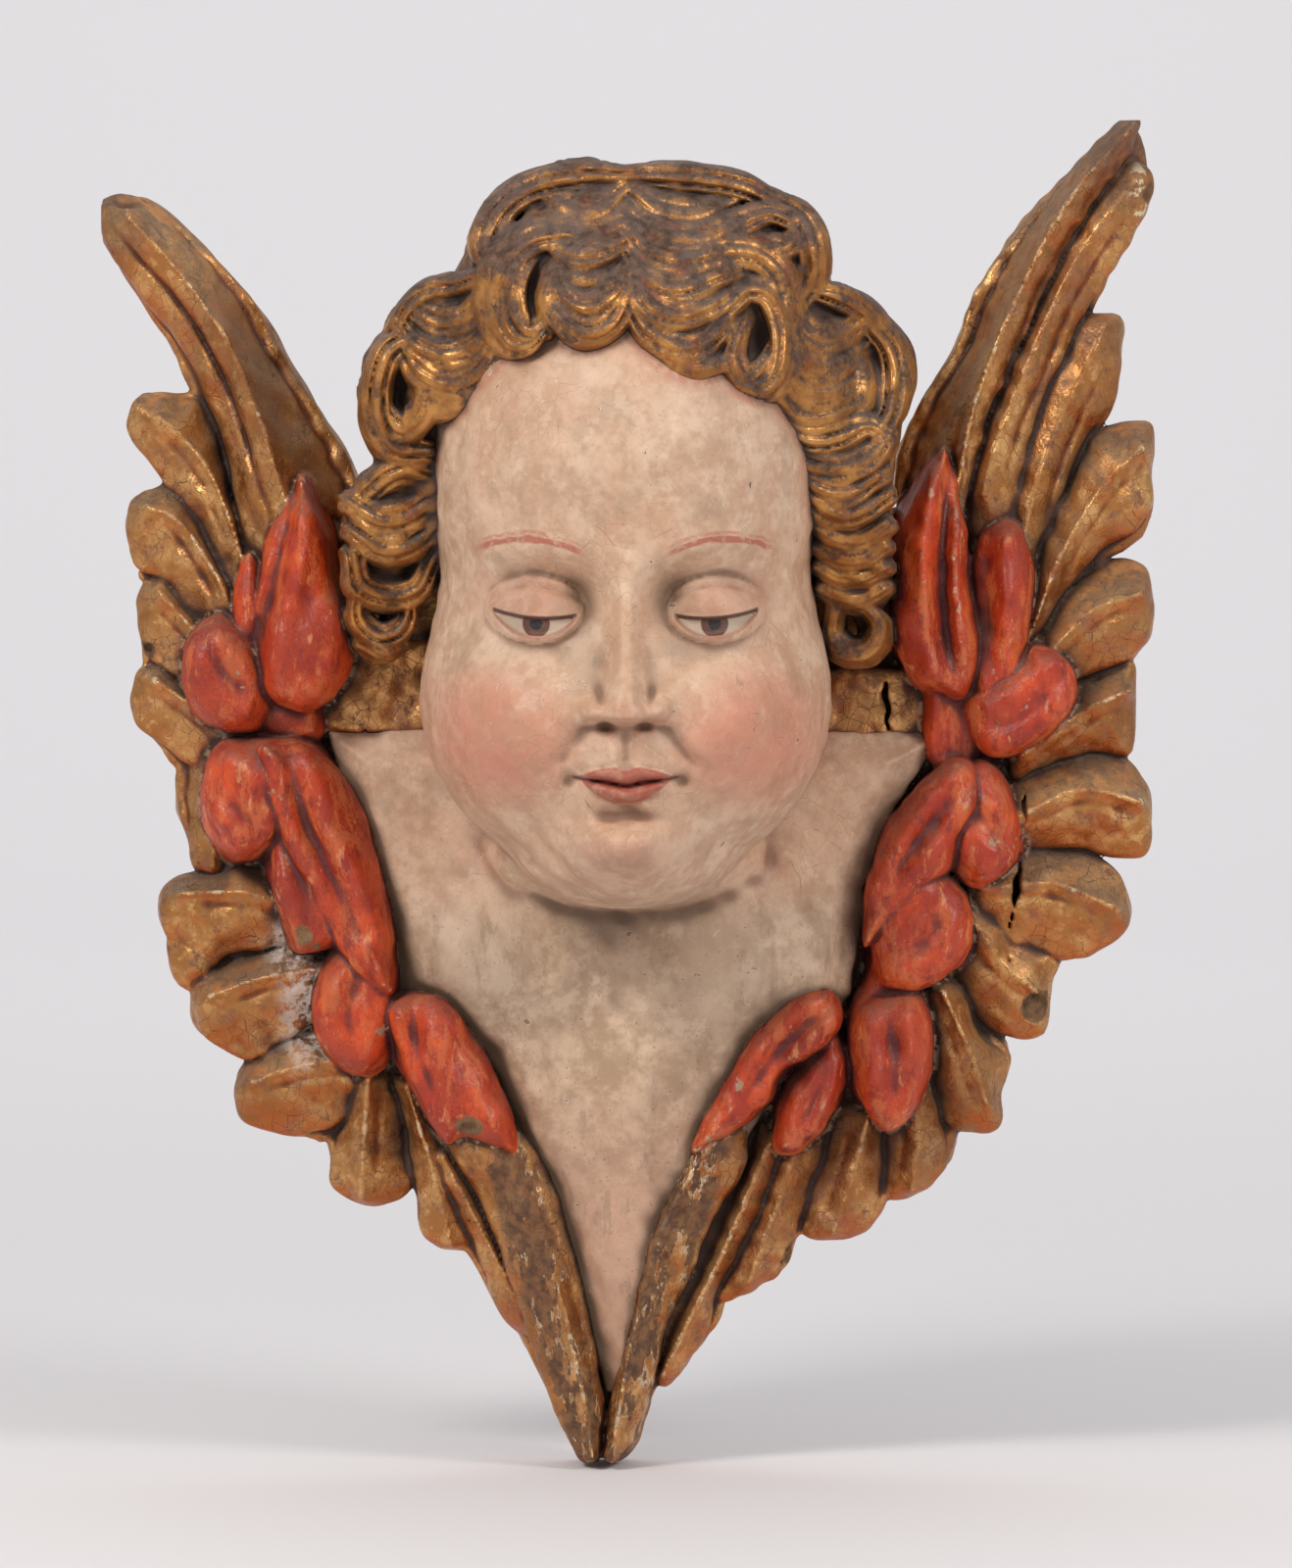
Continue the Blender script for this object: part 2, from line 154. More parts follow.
# Locks of hair: line (x, z, half width), lift, half depth, strands
TRESSES = [
    ("TLtop", [(0, 180.3, 2.5), (-12.3, 180.9, 3.4), (-23, 179.1, 3.7), (-32.2, 176, 3.7), (-40.5, 169.2, 3.7), (-44.5, 160, 3.7), (-42.9, 152.7, 2.5)], -1, 9, 2),
    ("TLin", [(-20.8, 172.9, 2.5), (-27.6, 168, 2.8), (-30.7, 161.9, 2.8), (-36.2, 156.4, 2.1)], -2, 6, 2),
    ("TLhook", [(-24.5, 177.2, 1.8), (-29.1, 172.9, 2.5), (-29.1, 166.8, 2.1)], -4, 6, 1),
    ("TSLu", [(0, 176.6, 2.5), (-7.4, 170.8, 4.3), (-15.9, 169.9, 4.3), (-23.9, 174.8, 2.5)], 0, 6, 2),
    ("TSLv", [(0.6, 171.7, 1.8), (-6.7, 165.9, 2.8), (-15.3, 165, 2.8), (-22.7, 168.6, 2.1)], 0, 6, 1),
    ("W2L", [(0, 166.8, 2.8), (-10.1, 163.7, 3.7), (-20.8, 164, 4), (-31.3, 161.3, 4), (-38.9, 154.2, 4), (-42.6, 143.5, 4), (-41.4, 134, 3.7), (-36.2, 127.9, 3.1), (-30, 128.5, 2.1), (-25.8, 132.5, 1.2)], 2, 7, 2),
    ("FCLin", [(-23.9, 160, 2.1), (-31.6, 155.8, 2.8), (-35.6, 146.6, 3.1), (-34.6, 137.4, 3.1), (-30.4, 132.5, 2.8), (-25.4, 136.1, 1.8)], 0, 6, 2),
    ("FCLr", [(-20.2, 159.4, 2.1), (-22.4, 150.8, 2.5), (-24.5, 142.6, 2.5), (-24.8, 132.5, 1.8)], 0, 6, 1),
    ("W3L", [(-0.3, 161.9, 2.5), (-8.6, 157.9, 3.4), (-16.6, 157.9, 3.4), (-23.9, 161.3, 2.5)], 2, 6, 2),
    ("FSL0", [(-1.8, 155.8, 2.1), (-9.2, 149, 2.8), (-15.9, 150.8, 2.5), (-20.5, 156.4, 1.8)], -1, 6, 1),
    ("FSL1", [(0.3, 152.1, 2.8), (-3.7, 144.7, 3.4), (-11.7, 140.1, 3.7), (-19, 143.2, 3.1), (-22.7, 150.8, 2.5)], 1, 6, 2),
    ("FSL2", [(1.2, 144.7, 2.5), (-4, 135.8, 3.4), (-12.6, 132.5, 3.7), (-20.5, 137.1, 3.1), (-24.8, 143.5, 2.1)], 1, 7, 2),
    ("TULtop", [(-42, 150.8, 2.1), (-52.1, 145.9, 3.1), (-61.3, 144.1, 3.4), (-68.1, 139.8, 2.8), (-72.7, 133.1, 2.5)], -1, 10, 2),
    ("TULu", [(-45.4, 143.5, 2.5), (-50.6, 137.1, 3.4), (-58.3, 135.2, 3.7), (-65.6, 138.6, 2.8)], 1, 6, 2),
    ("TLu1", [(-42.9, 134.9, 2.5), (-49.1, 127.5, 3.7), (-58.3, 125.1, 3.7), (-66.2, 128.2, 3.1), (-70.8, 133.4, 2.1)], 1, 6, 2),
    ("TLu2", [(-42, 126.6, 2.5), (-47.5, 118.3, 3.7), (-56.7, 115.9, 3.7), (-65.3, 119.6, 3.4), (-69.6, 125.7, 2.1)], 1, 6, 2),
    ("TLu3", [(-43.5, 119, 2.5), (-51.5, 110.4, 3.1), (-59.5, 108.8, 3.1), (-66.2, 112.8, 2.5)], 0, 7, 1),
    ("SCLo", [(-67.5, 130.9, 2.8), (-75.4, 125.7, 3.7), (-79.1, 115, 3.7), (-78.5, 104.2, 4), (-73.6, 95.7, 3.7), (-64.4, 94.4, 2.8)], 1, 12, 2),
    ("SCLi", [(-63.2, 114.7, 2.1), (-65.3, 106.7, 3.4), (-71.1, 101.8, 3.7), (-75.4, 106.7, 2.5)], 1, 6, 2),
    ("SCLb", [(-76, 94.4, 1.8), (-69.6, 89.5, 2.5), (-61.9, 91.4, 1.8)], -2, 8, 1),
    ("ECLt", [(-61.3, 85.8, 2.5), (-70.5, 87.7, 3.4), (-78.5, 84, 3.4), (-84.6, 77.3, 2.5)], -1, 10, 2),
    ("ECLu1", [(-61.9, 79.1, 2.8), (-69, 73.6, 4.3), (-78.2, 73, 4.3), (-85.8, 77.3, 2.8)], 1, 8, 2),
    ("ECLu2", [(-61.3, 69.6, 2.8), (-69, 64.1, 4), (-78.2, 63.8, 3.7), (-85.8, 68.7, 2.5)], 1, 8, 2),
    ("ECLr", [(-85.8, 61.3, 2.5), (-83.4, 52.1, 3.4), (-75.1, 48.1, 3.7), (-65.6, 50.3, 3.4), (-61, 58.9, 2.5)], 1, 9, 2),
    ("ECLv", [(-82.2, 61.9, 1.5), (-73.6, 63.8, 2.1), (-65, 61.3, 1.5)], -1, 6, 1),
    ("LCL", [(-83.4, 49.1, 1.8), (-82.5, 41.1, 2.8), (-76, 36.2, 3.1), (-69, 39.2, 2.8), (-67.1, 46.6, 1.8)], 0, 9, 2),
    ("LCLb", [(-81.6, 34.3, 1.8), (-74.8, 31.3, 2.5), (-68.1, 33.7, 1.5)], -1, 8, 1),
    ("TRtop", [(1.5, 180.3, 2.5), (15.3, 180.3, 3.4), (27.6, 179.1, 3.4), (38.3, 176.6, 3.1), (48.1, 171.7, 2.5)], -1, 9, 2),
    ("TSRu1", [(2.5, 176, 2.5), (11, 170.5, 4), (21.5, 168.9, 4), (33.1, 172.6, 2.8)], 0, 6, 2),
    ("TSRu2", [(3.1, 169.9, 2.5), (12.3, 163.1, 3.7), (23, 161.6, 3.7), (33.7, 165, 3.4), (44.5, 169.5, 2.8), (52.7, 166.8, 2.1)], 1, 6, 2),
    ("CRo", [(47.5, 172.6, 2.8), (55.2, 167.1, 3.7), (58.9, 157.9, 4), (58.9, 148.7, 3.7), (53.3, 140.4, 2.8)], 0, 11, 2),
    ("CRi", [(36.2, 163.1, 2.1), (44.5, 158.8, 3.1), (51.5, 159.4, 3.1), (54.6, 164.3, 1.8)], 0, 6, 2),
    ("CRj", [(42.3, 156.4, 2.1), (49.1, 152.7, 2.8), (53.3, 146.6, 2.5), (53, 139.8, 1.8)], 0, 6, 1),
    ("W2R", [(0.6, 165, 2.5), (7.7, 157.9, 3.4), (18.4, 155.4, 3.7), (29.1, 157.6, 3.7), (39.9, 157, 3.7), (48.1, 150.8, 3.7), (51.5, 141, 3.7), (52.7, 128.8, 3.4), (50.9, 117.1, 2.8)], 2, 7, 2),
    ("W3R", [(1.2, 157.6, 2.1), (6.7, 149.3, 3.1), (16.9, 146.2, 3.4), (27.6, 149.6, 3.1), (37.4, 152.7, 2.8), (44.8, 149.6, 1.8)], 1, 6, 2),
    ("FWR1", [(3.1, 150.8, 2.5), (7.4, 141.3, 3.4), (15.9, 137.4, 3.7), (25.8, 140.4, 3.4), (33.7, 145.6, 2.5)], 1, 6, 2),
    ("FWR2", [(1.8, 142.3, 2.5), (6.7, 133.1, 3.4), (15.3, 128.2, 3.7), (25.1, 129.4, 3.4), (32.5, 136.1, 2.5)], 1, 7, 2),
    ("FWR3", [(4.9, 132.5, 2.1), (12.3, 124.2, 2.8), (21.5, 120.8, 3.1), (30, 123.3, 2.8), (34.6, 128.8, 1.8)], 0, 7, 1),
    ("FCRo", [(32.5, 140.4, 2.5), (39.2, 145.6, 3.1), (46.6, 143.2, 3.7), (50.9, 133.4, 3.7), (50, 122, 3.7), (44.8, 114.1, 3.4), (36.8, 115.3, 2.5)], 2, 7, 2),
    ("FCRi", [(36.8, 134.3, 2.1), (34, 125.7, 2.8), (37.4, 118.7, 3.1), (43.2, 120.8, 2.8), (46.3, 127.2, 1.8)], 0, 6, 2),
    ("TURt", [(59.2, 145, 2.1), (68.1, 142.6, 3.1), (76, 137.7, 3.1), (82.5, 130, 2.5)], -1, 10, 2),
    ("TURu", [(54, 137.4, 2.5), (59.8, 131.5, 3.4), (67.5, 130.9, 3.7), (75.4, 134.9, 2.5)], 1, 6, 2),
    ("OCRo", [(77.3, 134.3, 2.5), (83.1, 126.9, 3.4), (84.9, 116.5, 3.7), (84, 107.3, 3.4), (79.1, 100.6, 2.5)], 0, 13, 2),
    ("OCRi", [(73.6, 128.2, 2.1), (76, 119.6, 2.8), (76.6, 111.6, 2.8), (73.6, 106.1, 1.8)], 0, 6, 1),
    ("TRu1", [(52.7, 127.9, 2.5), (58.9, 122, 3.4), (66.8, 122, 3.7), (74.8, 126.6, 2.5)], 1, 6, 2),
    ("TRu2", [(50.9, 119.6, 2.5), (57.3, 113.7, 3.7), (65.9, 113.1, 3.7), (75.1, 117.7, 2.8)], 1, 6, 2),
    ("TRu3", [(49.1, 110.4, 2.5), (56.1, 105.2, 3.7), (65, 104.9, 3.7), (74.8, 110.1, 2.8)], 1, 6, 2),
    ("SCRt", [(48.1, 103, 2.1), (58.3, 98.1, 3.1), (68.1, 98.7, 3.4), (76.6, 102.7, 2.8), (82.8, 100, 2.1)], 1, 8, 2),
    ("SCRu1", [(50, 96.9, 2.5), (56.7, 90.4, 3.7), (67.5, 88.6, 4), (77.6, 92.9, 3.4), (82.8, 98.1, 2.1)], 1, 8, 2),
    ("SCRu2", [(54, 88.3, 2.1), (61.3, 82.2, 3.7), (70.5, 81.2, 3.7), (80.3, 86.5, 2.8)], 1, 8, 2),
    ("SLRu", [(57.3, 81.6, 2.5), (63.8, 75.4, 3.7), (72.4, 74.5, 3.7), (81.9, 80, 2.8)], 1, 9, 2),
    ("RR1", [(60.1, 71.1, 2.5), (66.8, 67.1, 3.4), (75.1, 66.8, 3.4), (82.2, 70.8, 2.5)], 0, 11, 1),
    ("RR2", [(60.4, 64.1, 2.1), (67.5, 60.4, 3.1), (75.1, 60.4, 3.1), (81.6, 63.8, 2.1)], 0, 11, 1),
    ("RR3", [(60.7, 57.6, 2.1), (67.5, 54, 3.1), (74.8, 54, 3.1), (81.2, 57.3, 2.1)], 0, 11, 1),
    ("RR4", [(61.3, 50.9, 2.1), (68.1, 47.5, 2.8), (74.5, 47.5, 2.8), (80.3, 50.9, 2.1)], 0, 11, 1),
    ("LCR", [(65, 44.2, 2.1), (63.8, 36.8, 2.8), (68.1, 31.3, 3.1), (75.1, 31.9, 2.8), (78.5, 38.3, 2.5), (75.1, 43.8, 1.8), (69.3, 45.7, 1.5)], 0, 9, 1),
]
HAIR_EDGE = [(-81.2, 32.2), (-84, 49.1), (-88.3, 61.3), (-87.7, 78.2), (-79.7, 88.9), (-79.7, 104.2), (-81.6, 116.5), (-77.3, 128.8), (-67.5, 141.6), (-49.1, 150.2), (-47.2, 164), (-41.4, 174.8), (-24.5, 180.9), (-12.3, 182.7), (12.3, 182.1), (36.8, 177.8), (50.9, 171.7), (60.7, 157), (61.9, 146.6), (76.6, 138.6), (85.2, 122.6), (87.7, 105.8), (84, 85.8), (83.4, 61.3), (81.2, 36.8), (73.6, 28.2), (64.4, 32.2), (60.7, 61.3), (57, 82.8), (50.9, 102.7), (43.5, 110.4), (27.6, 119), (12.3, 125.1), (0, 135.5), (-15.3, 130), (-30.7, 125.1), (-42.9, 119), (-52.1, 108.8), (-59.8, 101.2), (-61.9, 85.8), (-61.3, 61.3), (-65.9, 41.4), (-73.6, 32.2)]

CAD_MIN = np.array([-162.3, -147.3, -222.2])
CAD_MAX = np.array([164.1, 0.0, 194.8])

CROWN_Z, CHIN_Z = 175.0, -44.0
HEAD_H = CROWN_Z - CHIN_Z
FACE_HALF_W, FACE_FRONT = 61.0, 134.0
BROW = CROWN_Z - 0.50 * HEAD_H
EYE = CROWN_Z - 0.58 * HEAD_H
NOSE = CROWN_Z - 0.745 * HEAD_H
MOUTH = CROWN_Z - 0.83 * HEAD_H
CHIN = CROWN_Z - 0.92 * HEAD_H
EYE_X = 0.47 * FACE_HALF_W
FAR = 12.0


# ------------------------------------------------------------------ the voxel block being carved
def block(x0, x1, d1, z0, z1, step):
    global gx, gd, gz, STEP, X0, D0, Z0
    STEP = step * COARSE
    X0, D0, Z0 = x0, -4.0, z0
    gx = (X0 + STEP * np.arange(int((x1 - x0) / STEP) + 1)).astype(np.float32)
    gd = (D0 + STEP * np.arange(int((d1 - D0) / STEP) + 1)).astype(np.float32)
    gz = (Z0 + STEP * np.arange(int((z1 - z0) / STEP) + 1)).astype(np.float32)


def new_field():
    return np.full((len(gx), len(gd), len(gz)), FAR, dtype=np.float32)


def span(g, lo, hi, pad=7.0):
    a = int(np.searchsorted(g, lo - pad)); b = int(np.searchsorted(g, hi + pad))
    a = max(0, min(a, len(g) - 3)); b = min(len(g), max(b, a + 3))
    return slice(a, b)


def outside(x0, x1, z0, z1, pad=7.0):
    return x1 + pad < gx[0] or x0 - pad > gx[-1] or z1 + pad < gz[0] or z0 - pad > gz[-1]


def smin(a, b, k):
    h = np.clip(k - np.abs(a - b), 0, None) / k
    return np.minimum(a, b) - h * h * k * 0.25


def smax(a, b, k):
    h = np.clip(k - np.abs(a - b), 0, None) / k
    return np.maximum(a, b) + h * h * k * 0.25


def sstep(a, b, x):
    t = np.clip((x - a) / (b - a), 0, 1)
    return t * t * (3 - 2 * t)


def put(field, sl, f, k):
    if k > 0:
        field[sl] = smin(field[sl], f.astype(np.float32), k)
    else:
        field[sl] = np.minimum(field[sl], f.astype(np.float32))


def waves2(x, z, size, seed, n=5):
    """A smooth random height over a plane, about -1 to 1, with features near `size` mm."""
    r = np.random.default_rng(seed)
    out = np.zeros(np.broadcast(x, z).shape, dtype=np.float32)
    for _ in range(n):
        a = r.uniform(0, math.pi * 2); w = 2 * math.pi / (size * r.uniform(0.7, 1.5))
        out += np.sin(w * (x * math.cos(a) + z * math.sin(a)) + r.uniform(0, 6.3)).astype(np.float32)
    return out / math.sqrt(n)


def smooth_line(pts, m=5, loop=False):
    """A Catmull-Rom curve through points of any dimension."""
    p = [np.array(q, dtype=float) for q in pts]
    n = len(p)
    out = []
    for i in range(n if loop else n - 1):
        if loop:
            p0, p1, p2, p3 = p[i - 1], p[i], p[(i + 1) % n], p[(i + 2) % n]
        else:
            p1, p2 = p[i], p[i + 1]
            p0 = p[i - 1] if i > 0 else 2 * p1 - p2
            p3 = p[i + 2] if i + 2 < n else 2 * p2 - p1
        for t in np.arange(m) / m:
            out.append(0.5 * (2 * p1 + (p2 - p0) * t + (2 * p0 - 5 * p1 + 4 * p2 - p3) * t * t + (3 * p1 - p0 - 3 * p2 + p3) * t ** 3))
    if not loop:
        out.append(p[-1])
    return np.array(out)


def poly_dist(px, pz, outline):
    """Signed distance to a closed outline, negative inside."""
    d = np.full(px.shape, 1e9, dtype=np.float32)
    inside = np.zeros(px.shape, dtype=bool)
    n = len(outline)
    for i in range(n):
        ax, az = outline[i][:2]; bx, bz = outline[(i + 1) % n][:2]
        ex, ez = bx - ax, bz - az
        t = np.clip(((px - ax) * ex + (pz - az) * ez) / (ex * ex + ez * ez + 1e-9), 0, 1)
        dx, dz = px - ax - t * ex, pz - az - t * ez
        d = np.minimum(d, dx * dx + dz * dz)
        c = (az > pz) != (bz > pz)
        with np.errstate(divide="ignore", invalid="ignore"):
            xi = ax + (pz - az) * ex / (ez if ez != 0 else 1e-9)
        inside ^= c & (px < xi)
    d = np.sqrt(d)
    return np.where(inside, -d, d)


def near_line(px, pz, line):
    """Distance to an open line, place along it from 0 to 1, distance to its right-hand side."""
    best = np.full(px.shape, 1e9, dtype=np.float32); S = np.zeros_like(best); U = np.zeros_like(best)
    n = len(line) - 1
    for i in range(n):
        ax, az = line[i][:2]; ex, ez = line[i + 1][0] - ax, line[i + 1][1] - az
        L = math.hypot(ex, ez) + 1e-9
        t = ((px - ax) * ex + (pz - az) * ez) / (L * L)
        tc = np.clip(t, 0, 1)
        dx, dz = px - ax - tc * ex, pz - az - tc * ez
        dist = np.sqrt(dx * dx + dz * dz)
        m = dist < best
        best[m] = dist[m]; S[m] = ((i + tc) / n)[m]
        U[m] = (((px - ax) * ez - (pz - az) * ex) / L)[m]
    return best, S, U


def plate(field, outline, depth, k_edge, k_join, pad=6.0, seed=0, wob=0.0, loop=5, back=None, grow=None):
    """A board with an outline, its front at `depth`, a function of x, z and the distance to the outline."""
    ol = smooth_line(outline, loop, True) if loop else np.array(outline, dtype=float)
    x0, x1, z0, z1 = ol[:, 0].min(), ol[:, 0].max(), ol[:, 1].min(), ol[:, 1].max()
    if outside(x0, x1, z0, z1):
        return
    sx, sz = span(gx, x0, x1, pad), span(gz, z0, z1, pad)
    px, pz = np.meshgrid(gx[sx], gz[sz], indexing="ij")
    f2 = poly_dist(px, pz, ol)
    if grow is not None:
        f2 = f2 - grow(px, pz)
    if wob:
        f2 = f2 + waves2(px, pz, 22, 900 + seed) * wob + waves2(px, pz, 8, 950 + seed) * wob * 0.35
    dep = depth(px, pz, f2).astype(np.float32)
    sd = span(gd, 0, float(dep.max()), pad)
    gxx, gzz = np.gradient(dep, STEP)
    norm = np.sqrt(1 + gxx ** 2 + gzz ** 2)
    fd = (gd[sd][None, :, None] - dep[:, None, :]) / norm[:, None, :]
    side = np.broadcast_to(f2[:, None, :], fd.shape)
    if back is not None:
        side = side + back(gd[sd])[None, :, None]
    put(field, (sx, sd, sz), smax(fd, side, k_edge), k_join)


def egg(field, x, z, d, rx, rz, rd, turn=0.0, k=0.0, bump=None, pad=6.0):
    """An ellipsoid turned in the plane of the wall, with an optional relief on its skin."""
    R_ = max(rx, rz)
    if outside(x - R_, x + R_, z - R_, z + R_):
        return
    sx, sz, sd = span(gx, x - R_, x + R_, pad), span(gz, z - R_, z + R_, pad), span(gd, d - rd, d + rd, pad)
    px, pz = gx[sx][:, None, None] - x, gz[sz][None, None, :] - z
    pd = gd[sd][None, :, None] - d
    c, s = math.cos(math.radians(turn)), math.sin(math.radians(turn))
    u, v = px * c + pz * s, -px * s + pz * c
    k0 = np.sqrt((u / rx) ** 2 + (v / rz) ** 2 + (pd / rd) ** 2) + 1e-6
    k1 = np.sqrt((u / rx ** 2) ** 2 + (v / rz ** 2) ** 2 + (pd / rd ** 2) ** 2) + 1e-6
    f = k0 * (k0 - 1) / k1
    if bump is not None:
        f = f - bump(px + x, pz + z, pd + d)
    put(field, (sx, sd, sz), np.clip(f, -FAR, FAR), k)


# ------------------------------------------------------------------ long blades of the wings
def quad(a, b, c, s):
    return a * (1 - s) * (1 - 2 * s) + b * 4 * s * (1 - s) + c * s * (2 * s - 1)


def lobe_depth(crest, rise, above, below, seed, vein_at=4.2, vein_deep=0.7):
    """A short flight feather: two planes that meet in a crest, the upper one steep."""
    line = smooth_line(crest, 5)
    side = 1.0 if line[0][0] < 0 else -1.0

    def dep(x, z, f2):
        d, s, lat = near_line(x, z, line)
        u = d / (d + np.maximum(-f2, 0) + 0.5)
        w = sstep(-2.4, 2.4, lat * side)
        sh = 1 - (above * w + below * (1 - w)) * np.clip(u, 0, 1) ** 1.1
        vein = vein_deep * np.exp(-((lat * side + vein_at) / 1.2) ** 2) * np.sin(np.clip(s, 0, 1) * math.pi)
        return rise * sh * (1.10 - 0.15 * s) - vein + waves2(x, z, 15, 700 + seed) * 0.45 + waves2(x, z, 6.5, 720 + seed) * 0.15
    return dep


def rooted(crest, most):
    """How far the ground under a feather spreads past it, nothing at its tip."""
    line = smooth_line(crest, 5)
    return lambda x, z: (most * (1 - sstep(0.45, 0.85, near_line(x, z, line)[1]))).astype(np.float32)


def puff_depth(rise, wid, line, deep, half, seed):
    """A puffed small feather with one soft channel along it."""
    curve = smooth_line(line, 5)

    def dep(x, z, f2):
        t = np.clip(-f2 / wid, 0, 1)
        t2 = np.clip(-f2 / (wid * 2.3), 0, 1)
        d, s, lat = near_line(x, z, curve)
        end = np.sin(np.clip(0.12 + 0.86 * s, 0, 1) * math.pi) ** 0.6
        ch = deep * np.exp(-(d / half) ** 2) * end
        lip = 0.22 * deep * np.exp(-((d - 2.0 * half) / half) ** 2) * end
        return rise - 15 * (1 - np.sqrt(1 - (1 - t) ** 2)) + 3.0 * (1 - (1 - t2) ** 2) - 1.5 - ch + lip + waves2(x, z, 20, 800 + seed) * 0.7 + waves2(x, z, 8, 820 + seed) * 0.15
    return dep


# ------------------------------------------------------------------ hair
def hair_front(x, z):
    """How far forward the locks stand, blended between them."""
    num = 0.0; den = 0.0
    for (lx, lz, rx, rz, turn, hx, hz, r, front, rd) in LOCK:
        w = np.exp(-((x - lx) / (1.15 * rx)) ** 2 - ((z - lz) / (1.15 * rz)) ** 2) + 1e-5
        num = num + w * front; den = den + w
    return (num / den).astype(np.float32)


def flow(seed, pitch, amp):
    w = np.random.default_rng(seed).uniform(0, 6.3, 3)

    def b(px, pz, pd):
        ph = (0.55 * px * np.sign(px + 0.01) + 0.35 * pd + 0.75 * pz) / pitch + 0.45 * np.sin(pz / 13 + w[0]) + 0.35 * np.sin(pd / 17 + px / 21 + w[1])
        return amp * (np.abs(np.sin(math.pi * ph)) ** 0.6 - 0.7)
    return b


def tress(field, pts, lift, hd, strands, seed, pad=5.0):
    """A bundle of carved strands along a line, its front riding on the hair's surface."""
    line = smooth_line(pts, 7)
    wmax = line[:, 2].max() * 1.65
    strands += strands > 1
    x0, x1, z0, z1 = line[:, 0].min() - wmax, line[:, 0].max() + wmax, line[:, 1].min() - wmax, line[:, 1].max() + wmax
    if outside(x0, x1, z0, z1):
        return
    sx, sz = span(gx, x0, x1, pad), span(gz, z0, z1, pad)
    px, pz = np.meshgrid(gx[sx], gz[sz], indexing="ij")
    d, s, lat = near_line(px, pz, line)
    w = np.interp(s, np.linspace(0, 1, len(line)), line[:, 2]).astype(np.float32) * 1.65
    front = hair_front(px, pz) + lift + 3.0 * np.sin(np.clip(s, 0, 1) * math.pi) - 1.8 + waves2(px, pz, 14, 600 + seed) * 0.4
    sd = span(gd, float(front.min()) - 2 * hd, float(front.max()), pad)
    q = (gd[sd][None, :, None] - (front - hd)[:, None, :]) / hd
    a = (d / w)[:, None, :]
    k0 = np.sqrt(a * a + q * q) + 1e-6
    f = (k0 - 1) * np.minimum(w, hd)[:, None, :]
    if strands > 1:
        ph = (np.clip(lat / w, -1, 1) * 0.5 + 0.5) * strands + 0.06 * np.sin(s * 9 + seed)
        ridge = np.abs(np.sin(math.pi * np.mod(ph, 1.0) ** 0.75)) ** 0.7 - 0.62
        f = f - (1.25 * ridge)[:, None, :] * sstep(-0.6, 0.1, q)
    f = f - (0.12 * np.sin(lat * 3.1 + np.sin(s * 6 + seed)))[:, None, :]
    put(field, (sx, sd, sz), np.clip(f, -FAR, FAR), 1.1)


# ------------------------------------------------------------------ chest
def chest_depth(x, z, f):
    mid = np.exp(-(x / 15.0) ** 2)
    lower = sstep(-100, -170, z)
    base = 37.0 - 8.0 * sstep(-60, -200, z)
    pec = 9.5 * (np.exp(-((x + 40) / 28) ** 2 - ((z + 64) / 24) ** 2) + np.exp(-((x - 36) / 28) ** 2 - ((z + 66) / 24) ** 2))
    keel = 5.0 * mid * lower
    belly = 9.0 * np.exp(-((x + 2) / 30) ** 2 - ((z + 98) / 32) ** 2)
    notch = -5.0 * np.exp(-((x + 4) / 12) ** 2 - ((z + 74) / 24) ** 2)
    rim = -6.0 * sstep(-11, 0, f)
    return (base + pec + keel + belly + notch + rim + waves2(x, z, 34, 3) * 0.6 + waves2(x, z, 13, 4) * 0.2).astype(np.float32)


# ------------------------------------------------------------------ head and face
def g2(x, z, cx, cz, sx, sz):
    return np.exp(-((x - cx) / sx) ** 2 - ((z - cz) / sz) ** 2)


def lash_line(t):
    """Lower edge of the lowered upper lid, t from -1 (inner corner) to 1 (outer)."""
    return EYE - 2.6 - 1.5 * (1 - t * t) + 0.7 * t


def under_line(t):
    return EYE - 2.6 - 6.8 * (1 - np.abs(t) ** 2.4) + 0.7 * t


def brow_line(xm):
    return BROW - 2.5 + 5.5 * (1 - ((xm - 31) / 20) ** 2)


def mouth_line(x):
    xm = np.abs(x)
    return MOUTH + 1.5 * (xm / 16) ** 2 - 1.0 * np.exp(-(x / 4.0) ** 2)


def lip_top(x):
    xm = np.abs(x)
    return MOUTH + 5.4 - 1.5 * np.exp(-(x / 2.3) ** 2) - 4.2 * (xm / 16.5) ** 2


def lip_low(x):
    return MOUTH - 6.6 * np.clip(1 - (np.abs(x) / 13.5) ** 2.2, -0.4, 1)


